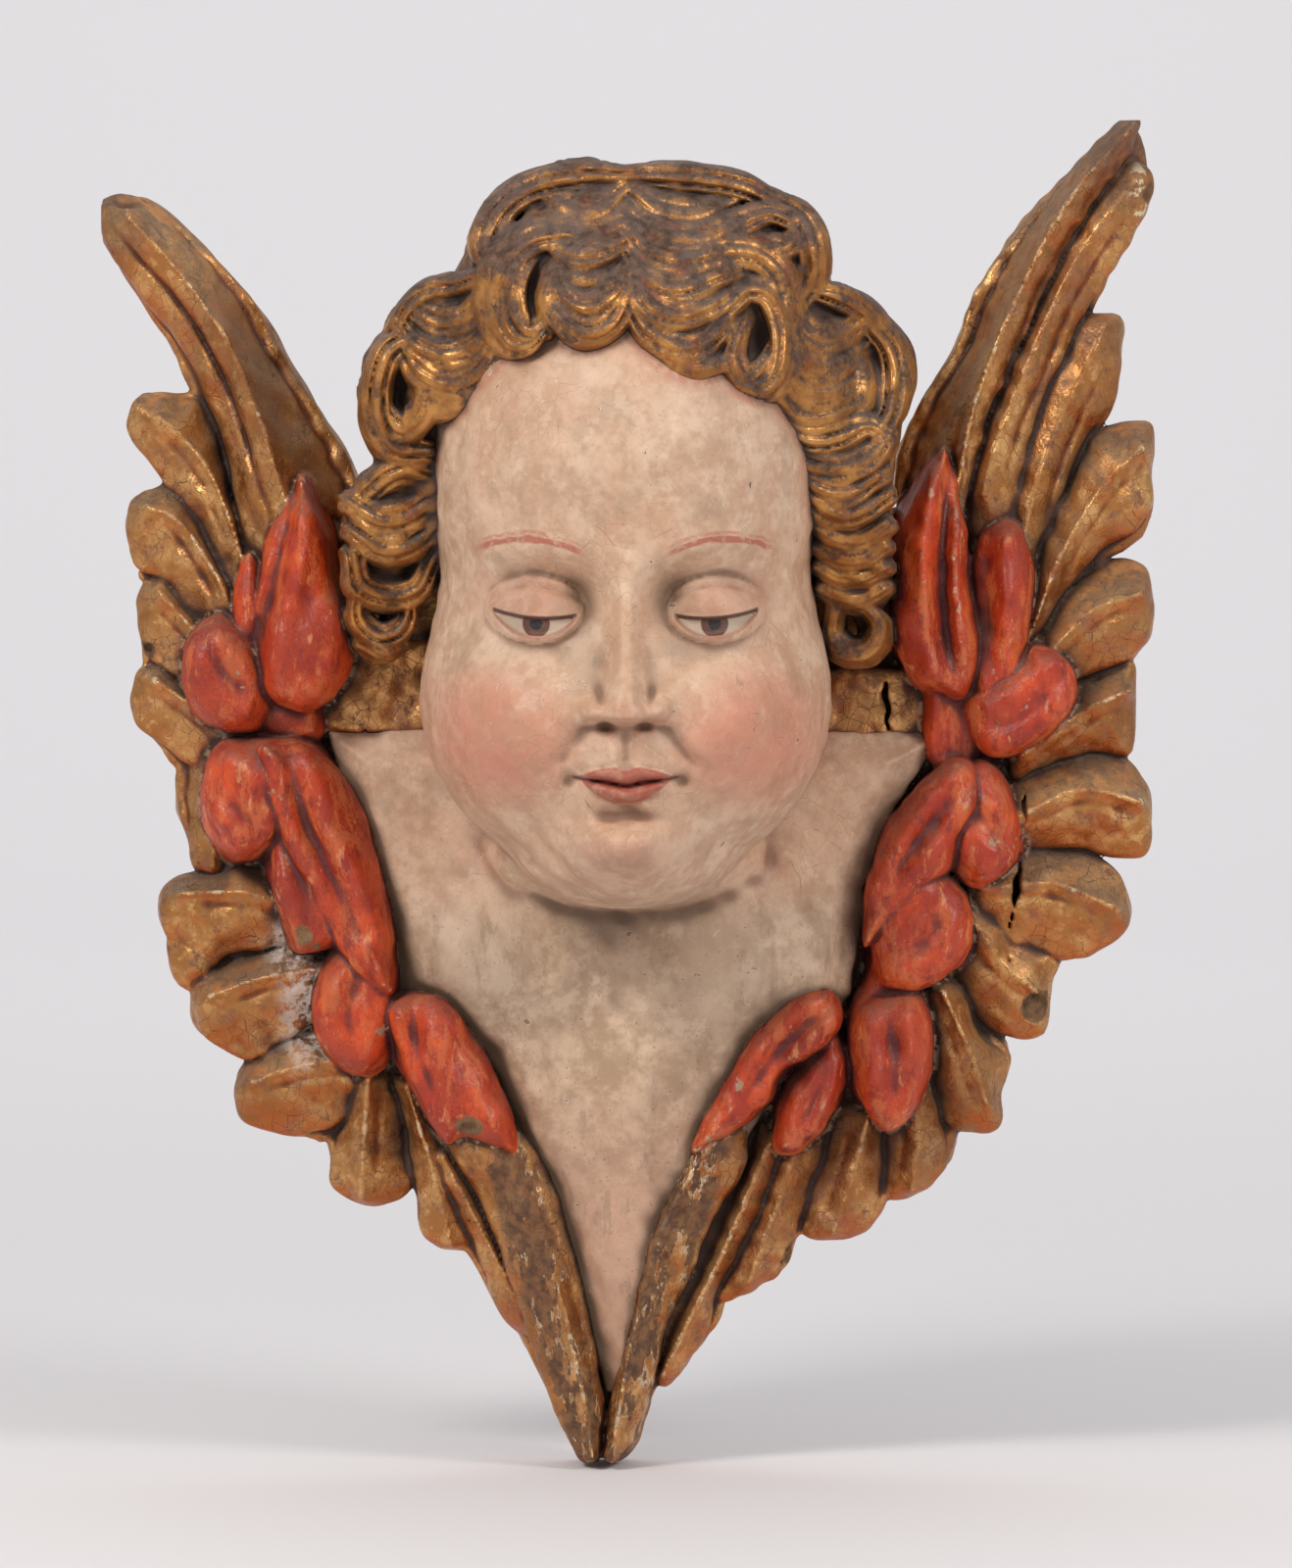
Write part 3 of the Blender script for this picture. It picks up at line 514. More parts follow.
def face_relief(x, z):
    xm = np.sqrt(x * x + 1.0)
    b = 2.5 * g2(x, z, 0, 112, 36, 26)
    # eye sockets, brow and the lidded eyes
    b -= 6.6 * g2(xm, z, 26, 51, 17, 10)
    b -= 4.2 * g2(xm, z, 14, 50, 5.5, 8)
    b += 2.0 * g2(xm, z, 30, 66, 16, 5.5)
    t = (xm - EYE_X) / 13.2
    rho = ((xm - EYE_X) / 16.0) ** 2 + ((z - (EYE - 1.4)) / 10.6) ** 2
    b += 8.2 * np.clip(1 - rho, 0, 1) ** 0.60
    inside = np.clip(1 - np.abs(t) ** 4, 0, 1)
    zu, zl = lash_line(t), under_line(t)
    slit = sstep(0.5, -0.5, z - zu) * sstep(-0.5, 0.5, z - zl) * (np.abs(t) < 1.02)
    b -= 2.1 * slit
    b += 1.1 * np.exp(-((z - zu - 1.1) / 1.3) ** 2) * inside      # swollen rim of the upper lid
    b += 1.0 * np.exp(-((z - zl + 1.3) / 1.5) ** 2) * inside      # rim of the lower lid
    fold = EYE + 6.0 - 4.0 * t * t
    b -= 1.3 * np.exp(-((z - fold) / 1.2) ** 2) * (np.abs(t) < 1.1)
    b -= 1.8 * g2(xm, z, 25, 32.5, 13, 4.0)
    # nose
    hn = np.interp(z, [8, 12, 16, 20, 28, 38, 48, 58, 66], [2, 13.0, 16.0, 14.6, 10.6, 8.0, 6.0, 3.0, 0.0])
    sn = np.interp(z, [8, 14, 20, 30, 45, 60, 70], [6.4, 7.2, 6.4, 5.2, 4.8, 6.4, 8.0])
    gate = sstep(NOSE - 2.2, NOSE + 2.6, z)
    b += hn * np.exp(-(xm / sn) ** 2.4) * gate
    b += 8.4 * g2(xm, z, 10.6, 15.6, 4.4, 4.4) * sstep(NOSE - 2.6, NOSE + 1.0, z)
    b -= 1.8 * g2(xm, z, 8.3, 20.5, 1.7, 3.6)
    b -= 5.0 * g2(xm, z, 6.2, NOSE - 0.4, 2.6, 1.7)
    # muzzle, philtrum, lips
    b += 5.4 * g2(x, z, 0, -3, 20, 14)
    b -= 1.6 * np.exp(-(x / 2.1) ** 2) * sstep(-2.5, 1, z) * sstep(10.5, 7, z)
    b += 0.8 * np.exp(-((xm - 4.2) / 1.6) ** 2) * sstep(-2.5, 1, z) * sstep(10.5, 7, z)
    zm, zt, zb = mouth_line(x), lip_top(x), lip_low(x)
    wide = np.clip(1 - (np.abs(x) / 16.5) ** 4, 0, 1)
    tu = np.clip((z - zm) / np.maximum(zt - zm, 0.6), 0, 1)
    b += 3.2 * np.sqrt(np.clip(4 * tu * (1 - tu), 0, 1)) ** 1.2 * wide * (0.75 + 0.25 * np.exp(-(x / 3.0) ** 2))
    tl = np.clip((zm - z) / np.maximum(zm - zb, 0.6), 0, 1)
    b += 4.2 * np.sqrt(np.clip(4 * tl * (1 - tl), 0, 1)) ** 1.2 * np.clip(1 - (np.abs(x) / 14.0) ** 4, 0, 1)
    b -= 2.6 * np.exp(-((z - zm) / 0.95) ** 2) * np.clip(1.15 - (np.abs(x) / 16.5) ** 6, 0, 1)
    b -= 3.2 * g2(xm, z, 17.8, MOUTH + 0.8, 2.8, 3.0)
    b -= 4.0 * g2(x, z, 0, MOUTH - 11.4, 11, 3.6)
    # chin and cheeks
    b += 7.0 * g2(x, z, 0, CHIN, 12.5, 9)
    b += 8.0 * g2(xm, z, 36, 9, 18, 18)
    b -= 2.4 * np.exp(-(((xm - 15.5) * 0.80 + (z - 6) * 0.60) / 2.8) ** 2) * sstep(-8, 2, z) * sstep(17, 9, z)
    return b.astype(np.float32)


def head(F):
    if outside(-92, 92, -80, 190):
        return
    sx, sz, sd = span(gx, -92, 92), span(gz, -72, 190), span(gd, 0, 146)
    HX, HZ, HD = gx[sx][:, None, None], gz[sz][None, None, :], gd[sd][None, :, None]
    bx, bz = np.meshgrid(gx[sx], gz[sz], indexing="ij")
    HD2 = HD - face_relief(bx, bz)[:, None, :] * sstep(72, 100, HD)

    def egg_f(x, z, d, rx, rz, rd):
        a, b, c = (HX - x) / rx, (HZ - z) / rz, (HD2 - d) / rd
        k0 = np.sqrt(a * a + b * b + c * c) + 1e-6
        k1 = np.sqrt((a / rx) ** 2 + (b / rz) ** 2 + (c / rd) ** 2) + 1e-6
        return (k0 * (k0 - 1) / k1).astype(np.float32)

    h = smin(egg_f(0, 90, 62, 62.0, 86, 72), egg_f(0, 18, 66, FACE_HALF_W + 3.5, 60, FACE_FRONT - 69), 12)
    h = smin(h, egg_f(0, CHIN + 1, 86, 25, 17, 40), 14)
    h = smin(h, egg_f(0, CHIN_Z + 11, 66, 31, 14, 38), 12)
    h = smin(h, egg_f(0, -30, 36, 44, 20, 24), 4)
    put(F, (sx, sd, sz), h, 3.5)


# broken tips and lost corners: x, z, depth, radius
BITES = [(-162, 168.5, 35, 8.0), (-156, 160, 40, 6.5), (-150, 171, 28, 3.6), (-49, -117.5, 50, 4.2), (128, -80, 24, 5.0), (52, -158, 18, 4.0),
         (163, 172, 24, 3.0), (-100, -57, 47, 3.4), (-95, -62, 44, 2.6), (-148, 31, 20, 2.5), (-85, 10, 34, 1.5),
         (-70, -136, 26, 2.0)]
# drying cracks: line, depth at which they end
CRACKS = [([(80.5, 21), (80.8, 12), (81.5, 4)], 20), ([(124, -13), (122, -36), (118.5, -58), (119, -66)], 15), ([(-81, -2), (-80.4, 6)], 24)]


def bite(field, x, z, d, r, seed):
    """A rough broken hollow."""
    if outside(x - r, x + r, z - r, z + r, 3) or d - r > gd[-1]:
        return
    sx, sz, sd = span(gx, x - r, x + r, 3), span(gz, z - r, z + r, 3), span(gd, d - r, d + r, 3)
    px, pz, pd = gx[sx][:, None, None], gz[sz][None, None, :], gd[sd][None, :, None]
    q = np.sqrt((px - x) ** 2 + (pz - z) ** 2 + (pd - d) ** 2) - r
    q = q + 0.7 * np.sin(px * 1.3 + seed) * np.sin(pz * 1.1 + seed * 2) + 0.5 * np.sin(pd * 1.7 + pz * 0.7 + seed)
    field[sx, sd, sz] = np.maximum(field[sx, sd, sz], -q.astype(np.float32))


def crack(field, pts, floor_d, half=0.75):
    xs = [p[0] for p in pts]; zs = [p[1] for p in pts]
    if outside(min(xs), max(xs), min(zs), max(zs), 3) or floor_d > gd[-1]:
        return
    sx, sz = span(gx, min(xs), max(xs), 3), span(gz, min(zs), max(zs), 3)
    px, pz = np.meshgrid(gx[sx], gz[sz], indexing="ij")
    d, s, lat = near_line(px + waves2(px, pz, 6, 61) * 0.4, pz, smooth_line(pts, 6))
    w = half * np.sin(np.clip(0.08 + 0.84 * s, 0, 1) * math.pi) ** 0.7
    q = np.maximum((d - w)[:, None, :], (floor_d - gd)[None, :, None]).astype(np.float32)
    field[sx, :, sz] = np.maximum(field[sx, :, sz], -q)


def plane_wave(kx, kd, kz, ph):
    a = np.exp(1j * (kx * gx + ph)).astype(np.complex64)
    b = np.exp(1j * kd * gd).astype(np.complex64)
    c = np.exp(1j * kz * gz).astype(np.complex64)
    return np.imag(a[:, None, None] * (b[:, None] * c[None, :])[None]).astype(np.float32)




# ground under the long feathers of the two tips
UNDER_BLADES = [[(-163.1, 168), (-150.2, 169.9), (-130.3, 149.6), (-108.8, 119), (-88.9, 87.4), (-90.4, 67.5), (-115.9, 49.1), (-123.3, 79.7), (-138, 119.6), (-156.4, 148.7)],
                [(156.4, 193.8), (161, 176.3), (150.2, 147.2), (141, 125.7), (147.2, 104.2), (128.8, 61.3), (110.4, 49.1), (88.9, 61.3), (90.4, 92), (105.8, 119.6), (115, 142.6), (126.3, 162.5), (141, 180.3)],
                [(-62.5, -122.6), (-42.9, -115), (-24.5, -134.9), (-11, -187), (-6.7, -211.6), (-10.4, -220.8), (-15.3, -214.6), (-26.1, -181.5), (-36.8, -173.2), (-56.7, -134.9)],
                [(36.8, -113.4), (47.8, -119.6), (39.9, -147.2), (26.4, -171.7), (18.4, -187), (8.6, -194.7), (3.1, -211.6), (-3.7, -220.8), (-4.6, -208.5), (6.1, -162.5), (21.5, -128.8)],
                [(-142, -58), (-126, -58), (-126, -74), (-139, -74)]]
PITS = [(41.4, 130.3, 6.6, 8.0, 5.5), (-29.1, 145.6, 6.2, 8.0, 3.6), (-73, 115, 5.8, 8.0, 5), (75.1, 115, 5.6, 8.0, 5),
        (70.5, 38.3, 4.5, 5.0, 7), (-75.1, 41.4, 4.5, 5.0, 7), (-33.7, 167.1, 5.5, 5.5, 7), (51, 156, 5.0, 4.0, 5), (-77, 65, 8.0, 3.5, 6)]


def pits(x, z):
    """The dark hollows at the middle of the curls."""
    out = 0.0
    for cx, cz, rx, rz, deep in PITS:
        out = out + deep * np.exp(-(((x - cx) / rx) ** 2 + ((z - cz) / rz) ** 2))
    return out


def sculpt():
    """The four painted zones and the one body they make, in the present block."""
    G, R, Hh, F = (new_field() for _ in range(4))      # gold, red, hair, flesh
    for i, (nm, outline, rise, crest, above, below) in enumerate(LOBES):
        plate(G, outline, lambda x, z, f: 17.5 + waves2(x, z, 12, 30) * 0.6, 2.0, 0.8, seed=i, grow=rooted(crest, 3.4))
    for i, (nm, outline, rise, crest, above, below) in enumerate(LOBES):
        plate(G, outline, lobe_depth(crest, rise, above, below, i, *((6.2, 2.8) if nm == "LBc" else (5.5, 1.4) if nm[1] == "B" else (4.2, 0.8))), 1.8, 0.4, seed=i, wob=0.15 if nm[1] == "B" else 0.3)
    for ol in UNDER_BLADES:
        plate(G, ol, lambda x, z, f: 22 + waves2(x, z, 26, 6) * 0.8 - 5 * sstep(-8, 0, f), 2.0, 1.2)
    plate(G, BOARD, lambda x, z, f: 20 + waves2(x, z, 30, 5) * 0.8, 2.0, 0.6, loop=0)
    for x0, x1, z0, z1 in ((-94, -46, 4.5, 34), (46, 100, 4.0, 25.5)):
        ol = [(x0, z0 + 1.0), (0.5 * (x0 + x1), z0), (x1, z0 - 0.6), (x1, z1), (x0, z1)]
        plate(G, ol, lambda x, z, f: 30 + waves2(x, z, 22, 9) * 1.0 + waves2(x, z, 7, 10) * 0.35, 3.0, 0.5, loop=0)
    for i, (nm, outline, rise, wid, line, deep, half) in enumerate(RED):
        plate(R, outline, puff_depth(rise, wid, line, deep, half, i), 4.0, 0.9, seed=40 + i, wob=0.3)
    for ol in ([(-104, 60), (-96, 20), (-94, 4), (-112, 4), (-118, 30)], [(104, 62), (112, 25), (108, -4), (92, -2), (94, 30)],
               [(-84, -60), (-70, -78), (-66, -92), (-80, -86)], [(80, -64), (92, -76), (78, -92), (68, -82)]):
        plate(R, ol, lambda x, z, f: 36 + waves2(x, z, 18, 77) * 0.8 - 3 * sstep(-4, 0, f), 4.0, 2.0)
    plate(F, CHEST, chest_depth, 3.0, 0.0, loop=0)
    head(F)
    for i, e in enumerate([(-5, 150, 48, 45, 28, 58), (20, 150, 48, 43, 26, 56), (56, 98, 40, 21, 48, 38), (-56, 98, 40, 21, 48, 38), (0, 104, 44, 66, 74, 48)]):
        egg(Hh, *e, k=3.0, bump=flow(400 + i, 6.5, 1.5))
    plate(Hh, HAIR_EDGE, lambda x, z, f: hair_front(x, z) - 3.2 - pits(x, z) - 9.0 * sstep(-10, 0.5, f), 5.0, 3.0, loop=3,
          back=lambda d: 0.34 * np.clip(60 - d, 0, 60))
    for i, (nm, pts, lift, hd, strands) in enumerate(TRESSES):
        tress(Hh, pts, lift, hd, strands, i)
    for j, (x, z, d, r) in enumerate(BITES):
        for fld in (G, R, F):
            bite(fld, x, z, d, r, j * 1.7)
    for pts, fl in CRACKS:
        for fld in (G, R, Hh):
            crack(fld, pts, fl)
    T = smin(smin(G, R, 0.8), smin(Hh, F, 0.5), 0.8)
    rng = np.random.default_rng(7)
    for wl, am in ((24, 0.28), (13, 0.16), (8, 0.10)):
        for _ in range(2):
            v = rng.normal(size=3); v = v / np.linalg.norm(v) * 2 * math.pi / wl
            T += am * plane_wave(v[0], v[1], v[2], rng.uniform(0, 6.3))
    T = smax(T, np.broadcast_to(-gd[None, :, None], T.shape).astype(np.float32), 0.8)      # the flat back
    return G, R, Hh, F, T


# ------------------------------------------------------------------ skin
def surface(T):
    S = T < 0
    nx, ny, nz = T.shape
    c = np.zeros((nx - 1, ny - 1, nz - 1), dtype=np.uint8)      # cells that hold both signs
    for i in (0, 1):
        for j in (0, 1):
            for k in (0, 1):
                c += S[i:nx - 1 + i, j:ny - 1 + j, k:nz - 1 + k]
    act = (c > 0) & (c < 8)
    ids = -np.ones(act.shape, dtype=np.int32)
    I, J, Kk = np.nonzero(act)
    ids[I, J, Kk] = np.arange(len(I), dtype=np.int32)
    val = np.empty((len(I), 2, 2, 2), dtype=np.float32)
    for i in (0, 1):
        for j in (0, 1):
            for k in (0, 1):
                val[:, i, j, k] = T[I + i, J + j, Kk + k]
    acc = np.zeros((len(I), 3)); cnt = np.zeros(len(I))
    for ax in range(3):
        for a in (0, 1):
            for b in (0, 1):
                s0 = [0, 0, 0]; o = [q for q in range(3) if q != ax]
                s0[o[0]] = a; s0[o[1]] = b
                s1 = list(s0); s1[ax] = 1
                v0 = val[:, s0[0], s0[1], s0[2]]; v1 = val[:, s1[0], s1[1], s1[2]]
                m = (v0 < 0) != (v1 < 0)
                t = np.where(m, v0 / np.where(m, v0 - v1, 1), 0)
                p = np.zeros((len(I), 3)); p[:, o[0]] = a; p[:, o[1]] = b; p[:, ax] = t
                acc[m] += p[m]; cnt[m] += 1
    acc /= cnt[:, None]
    P = np.stack([I, J, Kk], 1) + acc
    quads = []
    for ax in range(3):      # an edge along each axis that changes sign joins four cells
        sl0 = [slice(1, -1)] * 3; sl1 = [slice(1, -1)] * 3
        sl0[ax] = slice(0, -1); sl1[ax] = slice(1, None)
        A, B = S[tuple(sl0)], S[tuple(sl1)]
        E = np.nonzero(A != B)
        first = A[E]
        base = [E[q] + (0 if q == ax else 1) for q in range(3)]
        o = [(ax + 1) % 3, (ax + 2) % 3]

        def cell(du, dv):
            q = list(base)
            q[o[0]] = base[o[0]] - du; q[o[1]] = base[o[1]] - dv
            return ids[q[0], q[1], q[2]]
        q = np.stack([cell(1, 1), cell(0, 1), cell(0, 0), cell(1, 0)], 1)
        q[~first] = q[~first][:, ::-1]
        quads.append(q)
    V = np.stack([X0 + STEP * P[:, 0], -(D0 + STEP * P[:, 1]), Z0 + STEP * P[:, 2]], 1)
    return V, np.concatenate(quads)[:, ::-1]


def box_blur(a, r):
    for ax in range(3):
        n = a.shape[ax]
        c = np.cumsum(a, axis=ax, dtype=np.float32)
        hi = np.minimum(np.arange(n) + r, n - 1); lo = np.arange(n) - r - 1
        top = np.take(c, hi, axis=ax)
        bot = np.take(c, np.maximum(lo, 0), axis=ax)
        shape = [1, 1, 1]; shape[ax] = n
        bot = bot * (lo >= 0).reshape(shape)
        a = (top - bot) / np.float32(2 * r + 1)
    return a


def sample(field, v):
    """Field values at points given in millimetres."""
    q = np.stack([(v[:, 0] - X0) / STEP, (-v[:, 1] - D0) / STEP, (v[:, 2] - Z0) / STEP], 1)
    q = np.clip(q, 0, np.array(field.shape) - 1.001)
    i = q.astype(np.int32); f = q - i
    out = np.zeros(len(v))
    for a in (0, 1):
        for b in (0, 1):
            for c in (0, 1):
                w = (f[:, 0] if a else 1 - f[:, 0]) * (f[:, 1] if b else 1 - f[:, 1]) * (f[:, 2] if c else 1 - f[:, 2])
                out += w * field[i[:, 0] + a, i[:, 1] + b, i[:, 2] + c]
    return out


def skin(name, lead, T, near, wide, fields, target):
    """One closed piece: where its zone leads, and a little way under its neighbours."""
    under = np.clip(-lead, 0, 0.8) / 0.8
    P = np.maximum(T + 0.45 * under, -lead - 0.8)
    for ax in range(3):
        for end in (0, -1):
            sl = [slice(None)] * 3; sl[ax] = end
            P[tuple(sl)] = np.maximum(P[tuple(sl)], 0.5)
    V, Q = surface(P)
    del P
    mesh = bpy.data.meshes.new(name + "_full")
    mesh.vertices.add(len(V)); mesh.vertices.foreach_set("co", V.astype(np.float32).ravel())
    mesh.loops.add(len(Q) * 4); mesh.loops.foreach_set("vertex_index", Q.astype(np.int32).ravel())
    mesh.polygons.add(len(Q))
    mesh.polygons.foreach_set("loop_start", np.arange(0, len(Q) * 4, 4, dtype=np.int32))
    mesh.polygons.foreach_set("loop_total", np.full(len(Q), 4, dtype=np.int32))
    mesh.update(calc_edges=True); mesh.validate()
    obj = bpy.data.objects.new(name, mesh)
    scene.collection.objects.link(obj)
    tris = len(Q) * 2
    if tris > target:
        dec = obj.modifiers.new("d", "DECIMATE")
        dec.ratio = target / tris
        dec.use_collapse_triangulate = True
        dg = bpy.context.evaluated_depsgraph_get()
        small = bpy.data.meshes.new_from_object(obj.evaluated_get(dg))
        obj.modifiers.clear()
        old = obj.data; obj.data = small; bpy.data.meshes.remove(old)
    mesh = obj.data
    mesh.name = name
    tri = np.empty(len(mesh.loops), dtype=np.int32); mesh.loops.foreach_get("vertex_index", tri)
    _, inv, cnt = np.unique(np.sort(tri.reshape(-1, 3), axis=1), axis=0, return_inverse=True, return_counts=True)
    twice = np.nonzero(cnt[inv.ravel()] > 1)[0]
    if len(twice):                       # two faces back to back on the same three points: both go
        bm = bmesh.new(); bm.from_mesh(mesh); bm.faces.ensure_lookup_table()
        bmesh.ops.delete(bm, geom=[bm.faces[int(i)] for i in twice], context="FACES")
        bm.to_mesh(mesh); bm.free()
    print(name, "doubled faces", len(twice), "changed by validate", mesh.validate())
    n = len(mesh.vertices)
    co = np.empty(n * 3, dtype=np.float32); mesh.vertices.foreach_get("co", co); co = co.reshape(n, 3).astype(np.float64)
    co = np.clip(co, CAD_MIN + 0.05, CAD_MAX - np.array([0.05, 0.0, 0.05]))
    vals = np.stack([sample(f, co) for f in fields], 1)

    def leads(k):
        other = np.min(np.delete(vals, k, axis=1), axis=1)
        return np.clip(other - vals[:, k], -6, 6)

    x, d, z = co[:, 0], -co[:, 1], co[:, 2]
    raw = np.full(n, -6.0)
    for (bx_, bz_, bd_, br_) in BITES:
        raw = np.maximum(raw, br_ + 0.7 - np.sqrt((x - bx_) ** 2 + (z - bz_) ** 2 + (d - bd_) ** 2))
    xm = np.abs(x)
    t = (xm - EYE_X) / 13.2
    face_on = (vals[:, 3] < 1.5) & (d > 95)
    far = lambda v: np.where(face_on, v, 9.0)
    attrs = {
        "lead_red": leads(1), "lead_hair": leads(2), "lead_flesh": leads(3),
        "groove": sample(near, co) - 0.5, "hollow": sample(wide, co) - 0.5, "raw": np.clip(raw, -6, 6), "back": np.clip(1.2 - d, -6, 6),
        "lash": far(z - lash_line(t)), "eye_low": far(z - under_line(t)), "eye_t": far(t),
        "iris": far(np.sqrt((xm - EYE_X + 0.6) ** 2 + (z - (EYE - 5.6)) ** 2)),
        "brow": far(z - brow_line(xm)), "brow_t": far((xm - 30) / 19.0),
        "lip_line": far(z - mouth_line(x)), "lip_up": far(z - lip_top(x)), "lip_dn": far(z - lip_low(x)),
        "wing_d": d / 30.0,
    }
    for nm, data in attrs.items():
        a = mesh.attributes.new(nm, "FLOAT", "POINT")
        a.data.foreach_set("value", np.nan_to_num(data, nan=9.0).astype(np.float32))
    slim = sstep(42, 78, d)              # the head stands in front of the wings, so it looks larger in the picture than it is
    co[:, 0] *= 1 - 0.042 * slim
    co[:, 2] = 60 + (co[:, 2] - 60) * (1 - 0.028 * slim)
    mesh.vertices.foreach_set("co", (co * MM).astype(np.float32).ravel())
    mesh.polygons.foreach_set("use_smooth", np.ones(len(mesh.polygons), dtype=bool))
    mesh.update()
    print(name, tris, "->", len(mesh.polygons))
    return obj


def carve(x0, x1, d1, z0, z1, step, pieces):
    block(x0, x1, d1, z0, z1, step)
    G, R, Hh, F, T = sculpt()
    occ = np.clip(0.5 - T / STEP, 0, 1).astype(np.float32)
    near = box_blur(box_blur(occ, max(1, round(2.0 / STEP))), max(1, round(2.0 / STEP)))
    wide = box_blur(box_blur(occ, round(6 / STEP)), round(5 / STEP))
    del occ
    GR = np.minimum(G, R)
    for name, zone, target in pieces:
        if zone == "hair":
            lead = np.minimum(GR, F) - Hh
        elif zone == "flesh":
            lead = np.minimum(GR, Hh) - F
        else:
            lead = np.minimum(Hh, F) - GR
            cut = (SPLIT_X - gx if zone == "left" else gx - SPLIT_X)[:, None, None]
            lead = np.minimum(lead, cut)
        OBJS.append(skin(name, lead.astype(np.float32), T, near, wide, (G, R, Hh, F), target))


SPLIT_X = -7.0
OBJS = []
LIM = 1.0
carve(-100, 106, 146, -212, 178, 0.85, [("face_and_chest", "flesh", int(180000 * LIM))])
carve(-94, 94, 142, 22, 197, 0.65, [("hair", "hair", int(196000 * LIM))])
carve(-168, -4, 62, -228, 186, 0.80, [("left_wing", "left", int(190000 * LIM))])
carve(-10, 168, 62, -228, 198, 0.80, [("right_wing", "right", int(190000 * LIM))])

# ------------------------------------------------------------------ paint, gold and wood
class Val:
    """A node output that can be added, scaled and mixed in plain Python."""
    def __init__(self, s): self.s = s
    def __add__(a, b): return op("ADD", a, b)
    def __radd__(a, b): return op("ADD", b, a)
    def __sub__(a, b): return op("SUBTRACT", a, b)
    def __rsub__(a, b): return op("SUBTRACT", b, a)
    def __mul__(a, b): return op("MULTIPLY", a, b)
    def __rmul__(a, b): return op("MULTIPLY", b, a)


def feed(sock, v):
    if isinstance(v, Val): LINK(v.s, sock)
    else: sock.default_value = v


def op(kind, a, b=0.0, clamp=False):
    nd = NEW("ShaderNodeMath"); nd.operation = kind; nd.use_clamp = clamp
    feed(nd.inputs[0], a); feed(nd.inputs[1], b)
    return Val(nd.outputs[0])


def ramp(v, a, b, lo=0.0, hi=1.0, smooth=True):
    nd = NEW("ShaderNodeMapRange"); nd.interpolation_type = "SMOOTHSTEP" if smooth else "LINEAR"
    feed(nd.inputs["Value"], v)
    nd.inputs["From Min"].default_value = a; nd.inputs["From Max"].default_value = b
    nd.inputs["To Min"].default_value = lo; nd.inputs["To Max"].default_value = hi
    return Val(nd.outputs["Result"])


def attr(name):
    nd = NEW("ShaderNodeAttribute"); nd.attribute_name = name
    return Val(nd.outputs["Fac"])


def warp(scale3):
    nd = NEW("ShaderNodeMapping"); LINK(OBJ.s, nd.inputs["Vector"]); nd.inputs["Scale"].default_value = scale3
    return Val(nd.outputs[0])


def noise(size_mm, detail=4.0, rough=0.55, vec=None, w=0.0, distort=0.0):
    nd = NEW("ShaderNodeTexNoise"); nd.noise_dimensions = "3D"
    off = NEW("ShaderNodeVectorMath"); off.operation = "ADD"
    LINK((vec or OBJ).s, off.inputs[0]); off.inputs[1].default_value = (w * 0.713, w * 0.391, w * 0.557)
    LINK(off.outputs[0], nd.inputs["Vector"])
    nd.inputs["Scale"].default_value = 1000.0 / size_mm
    nd.inputs["Detail"].default_value = detail; nd.inputs["Roughness"].default_value = rough
    nd.inputs["Distortion"].default_value = distort
    return Val(nd.outputs["Fac"])


def cells(size_mm, feature="DISTANCE_TO_EDGE", vec=None, rand=1.0):
    nd = NEW("ShaderNodeTexVoronoi"); nd.feature = feature
    LINK((vec or OBJ).s, nd.inputs["Vector"])
    nd.inputs["Scale"].default_value = 1000.0 / size_mm; nd.inputs["Randomness"].default_value = rand
    return Val(nd.outputs["Distance"])


def rgb(h):
    def lin(c):
        c /= 255.0
        return c / 12.92 if c <= 0.04045 else ((c + 0.055) / 1.055) ** 2.4
    return (lin(int(h[0:2], 16)), lin(int(h[2:4], 16)), lin(int(h[4:6], 16)), 1.0)


def mix(fac, a, b, blend="MIX"):
    nd = NEW("ShaderNodeMix"); nd.data_type = "RGBA"; nd.blend_type = blend
    feed(nd.inputs[0], fac)
    for sock, v in ((nd.inputs[6], a), (nd.inputs[7], b)):
        if isinstance(v, Val): LINK(v.s, sock)
        else: sock.default_value = rgb(v) if isinstance(v, str) else v
    return Val(nd.outputs[2])


def mixf(fac, a, b):
    nd = NEW("ShaderNodeMix"); nd.data_type = "FLOAT"
    feed(nd.inputs[0], fac); feed(nd.inputs[2], a); feed(nd.inputs[3], b)
    return Val(nd.outputs[0])


def at(x, z, sx, sz):
    """A soft spot in the plane of the wall, 1 at its middle, sizes in mm."""
    a = (PX - x * MM) * (1000.0 / sx); b = (PZ - z * MM) * (1000.0 / sz)
    return ramp(a * a + b * b, 0.0, 1.6, 1.0, 0.0)


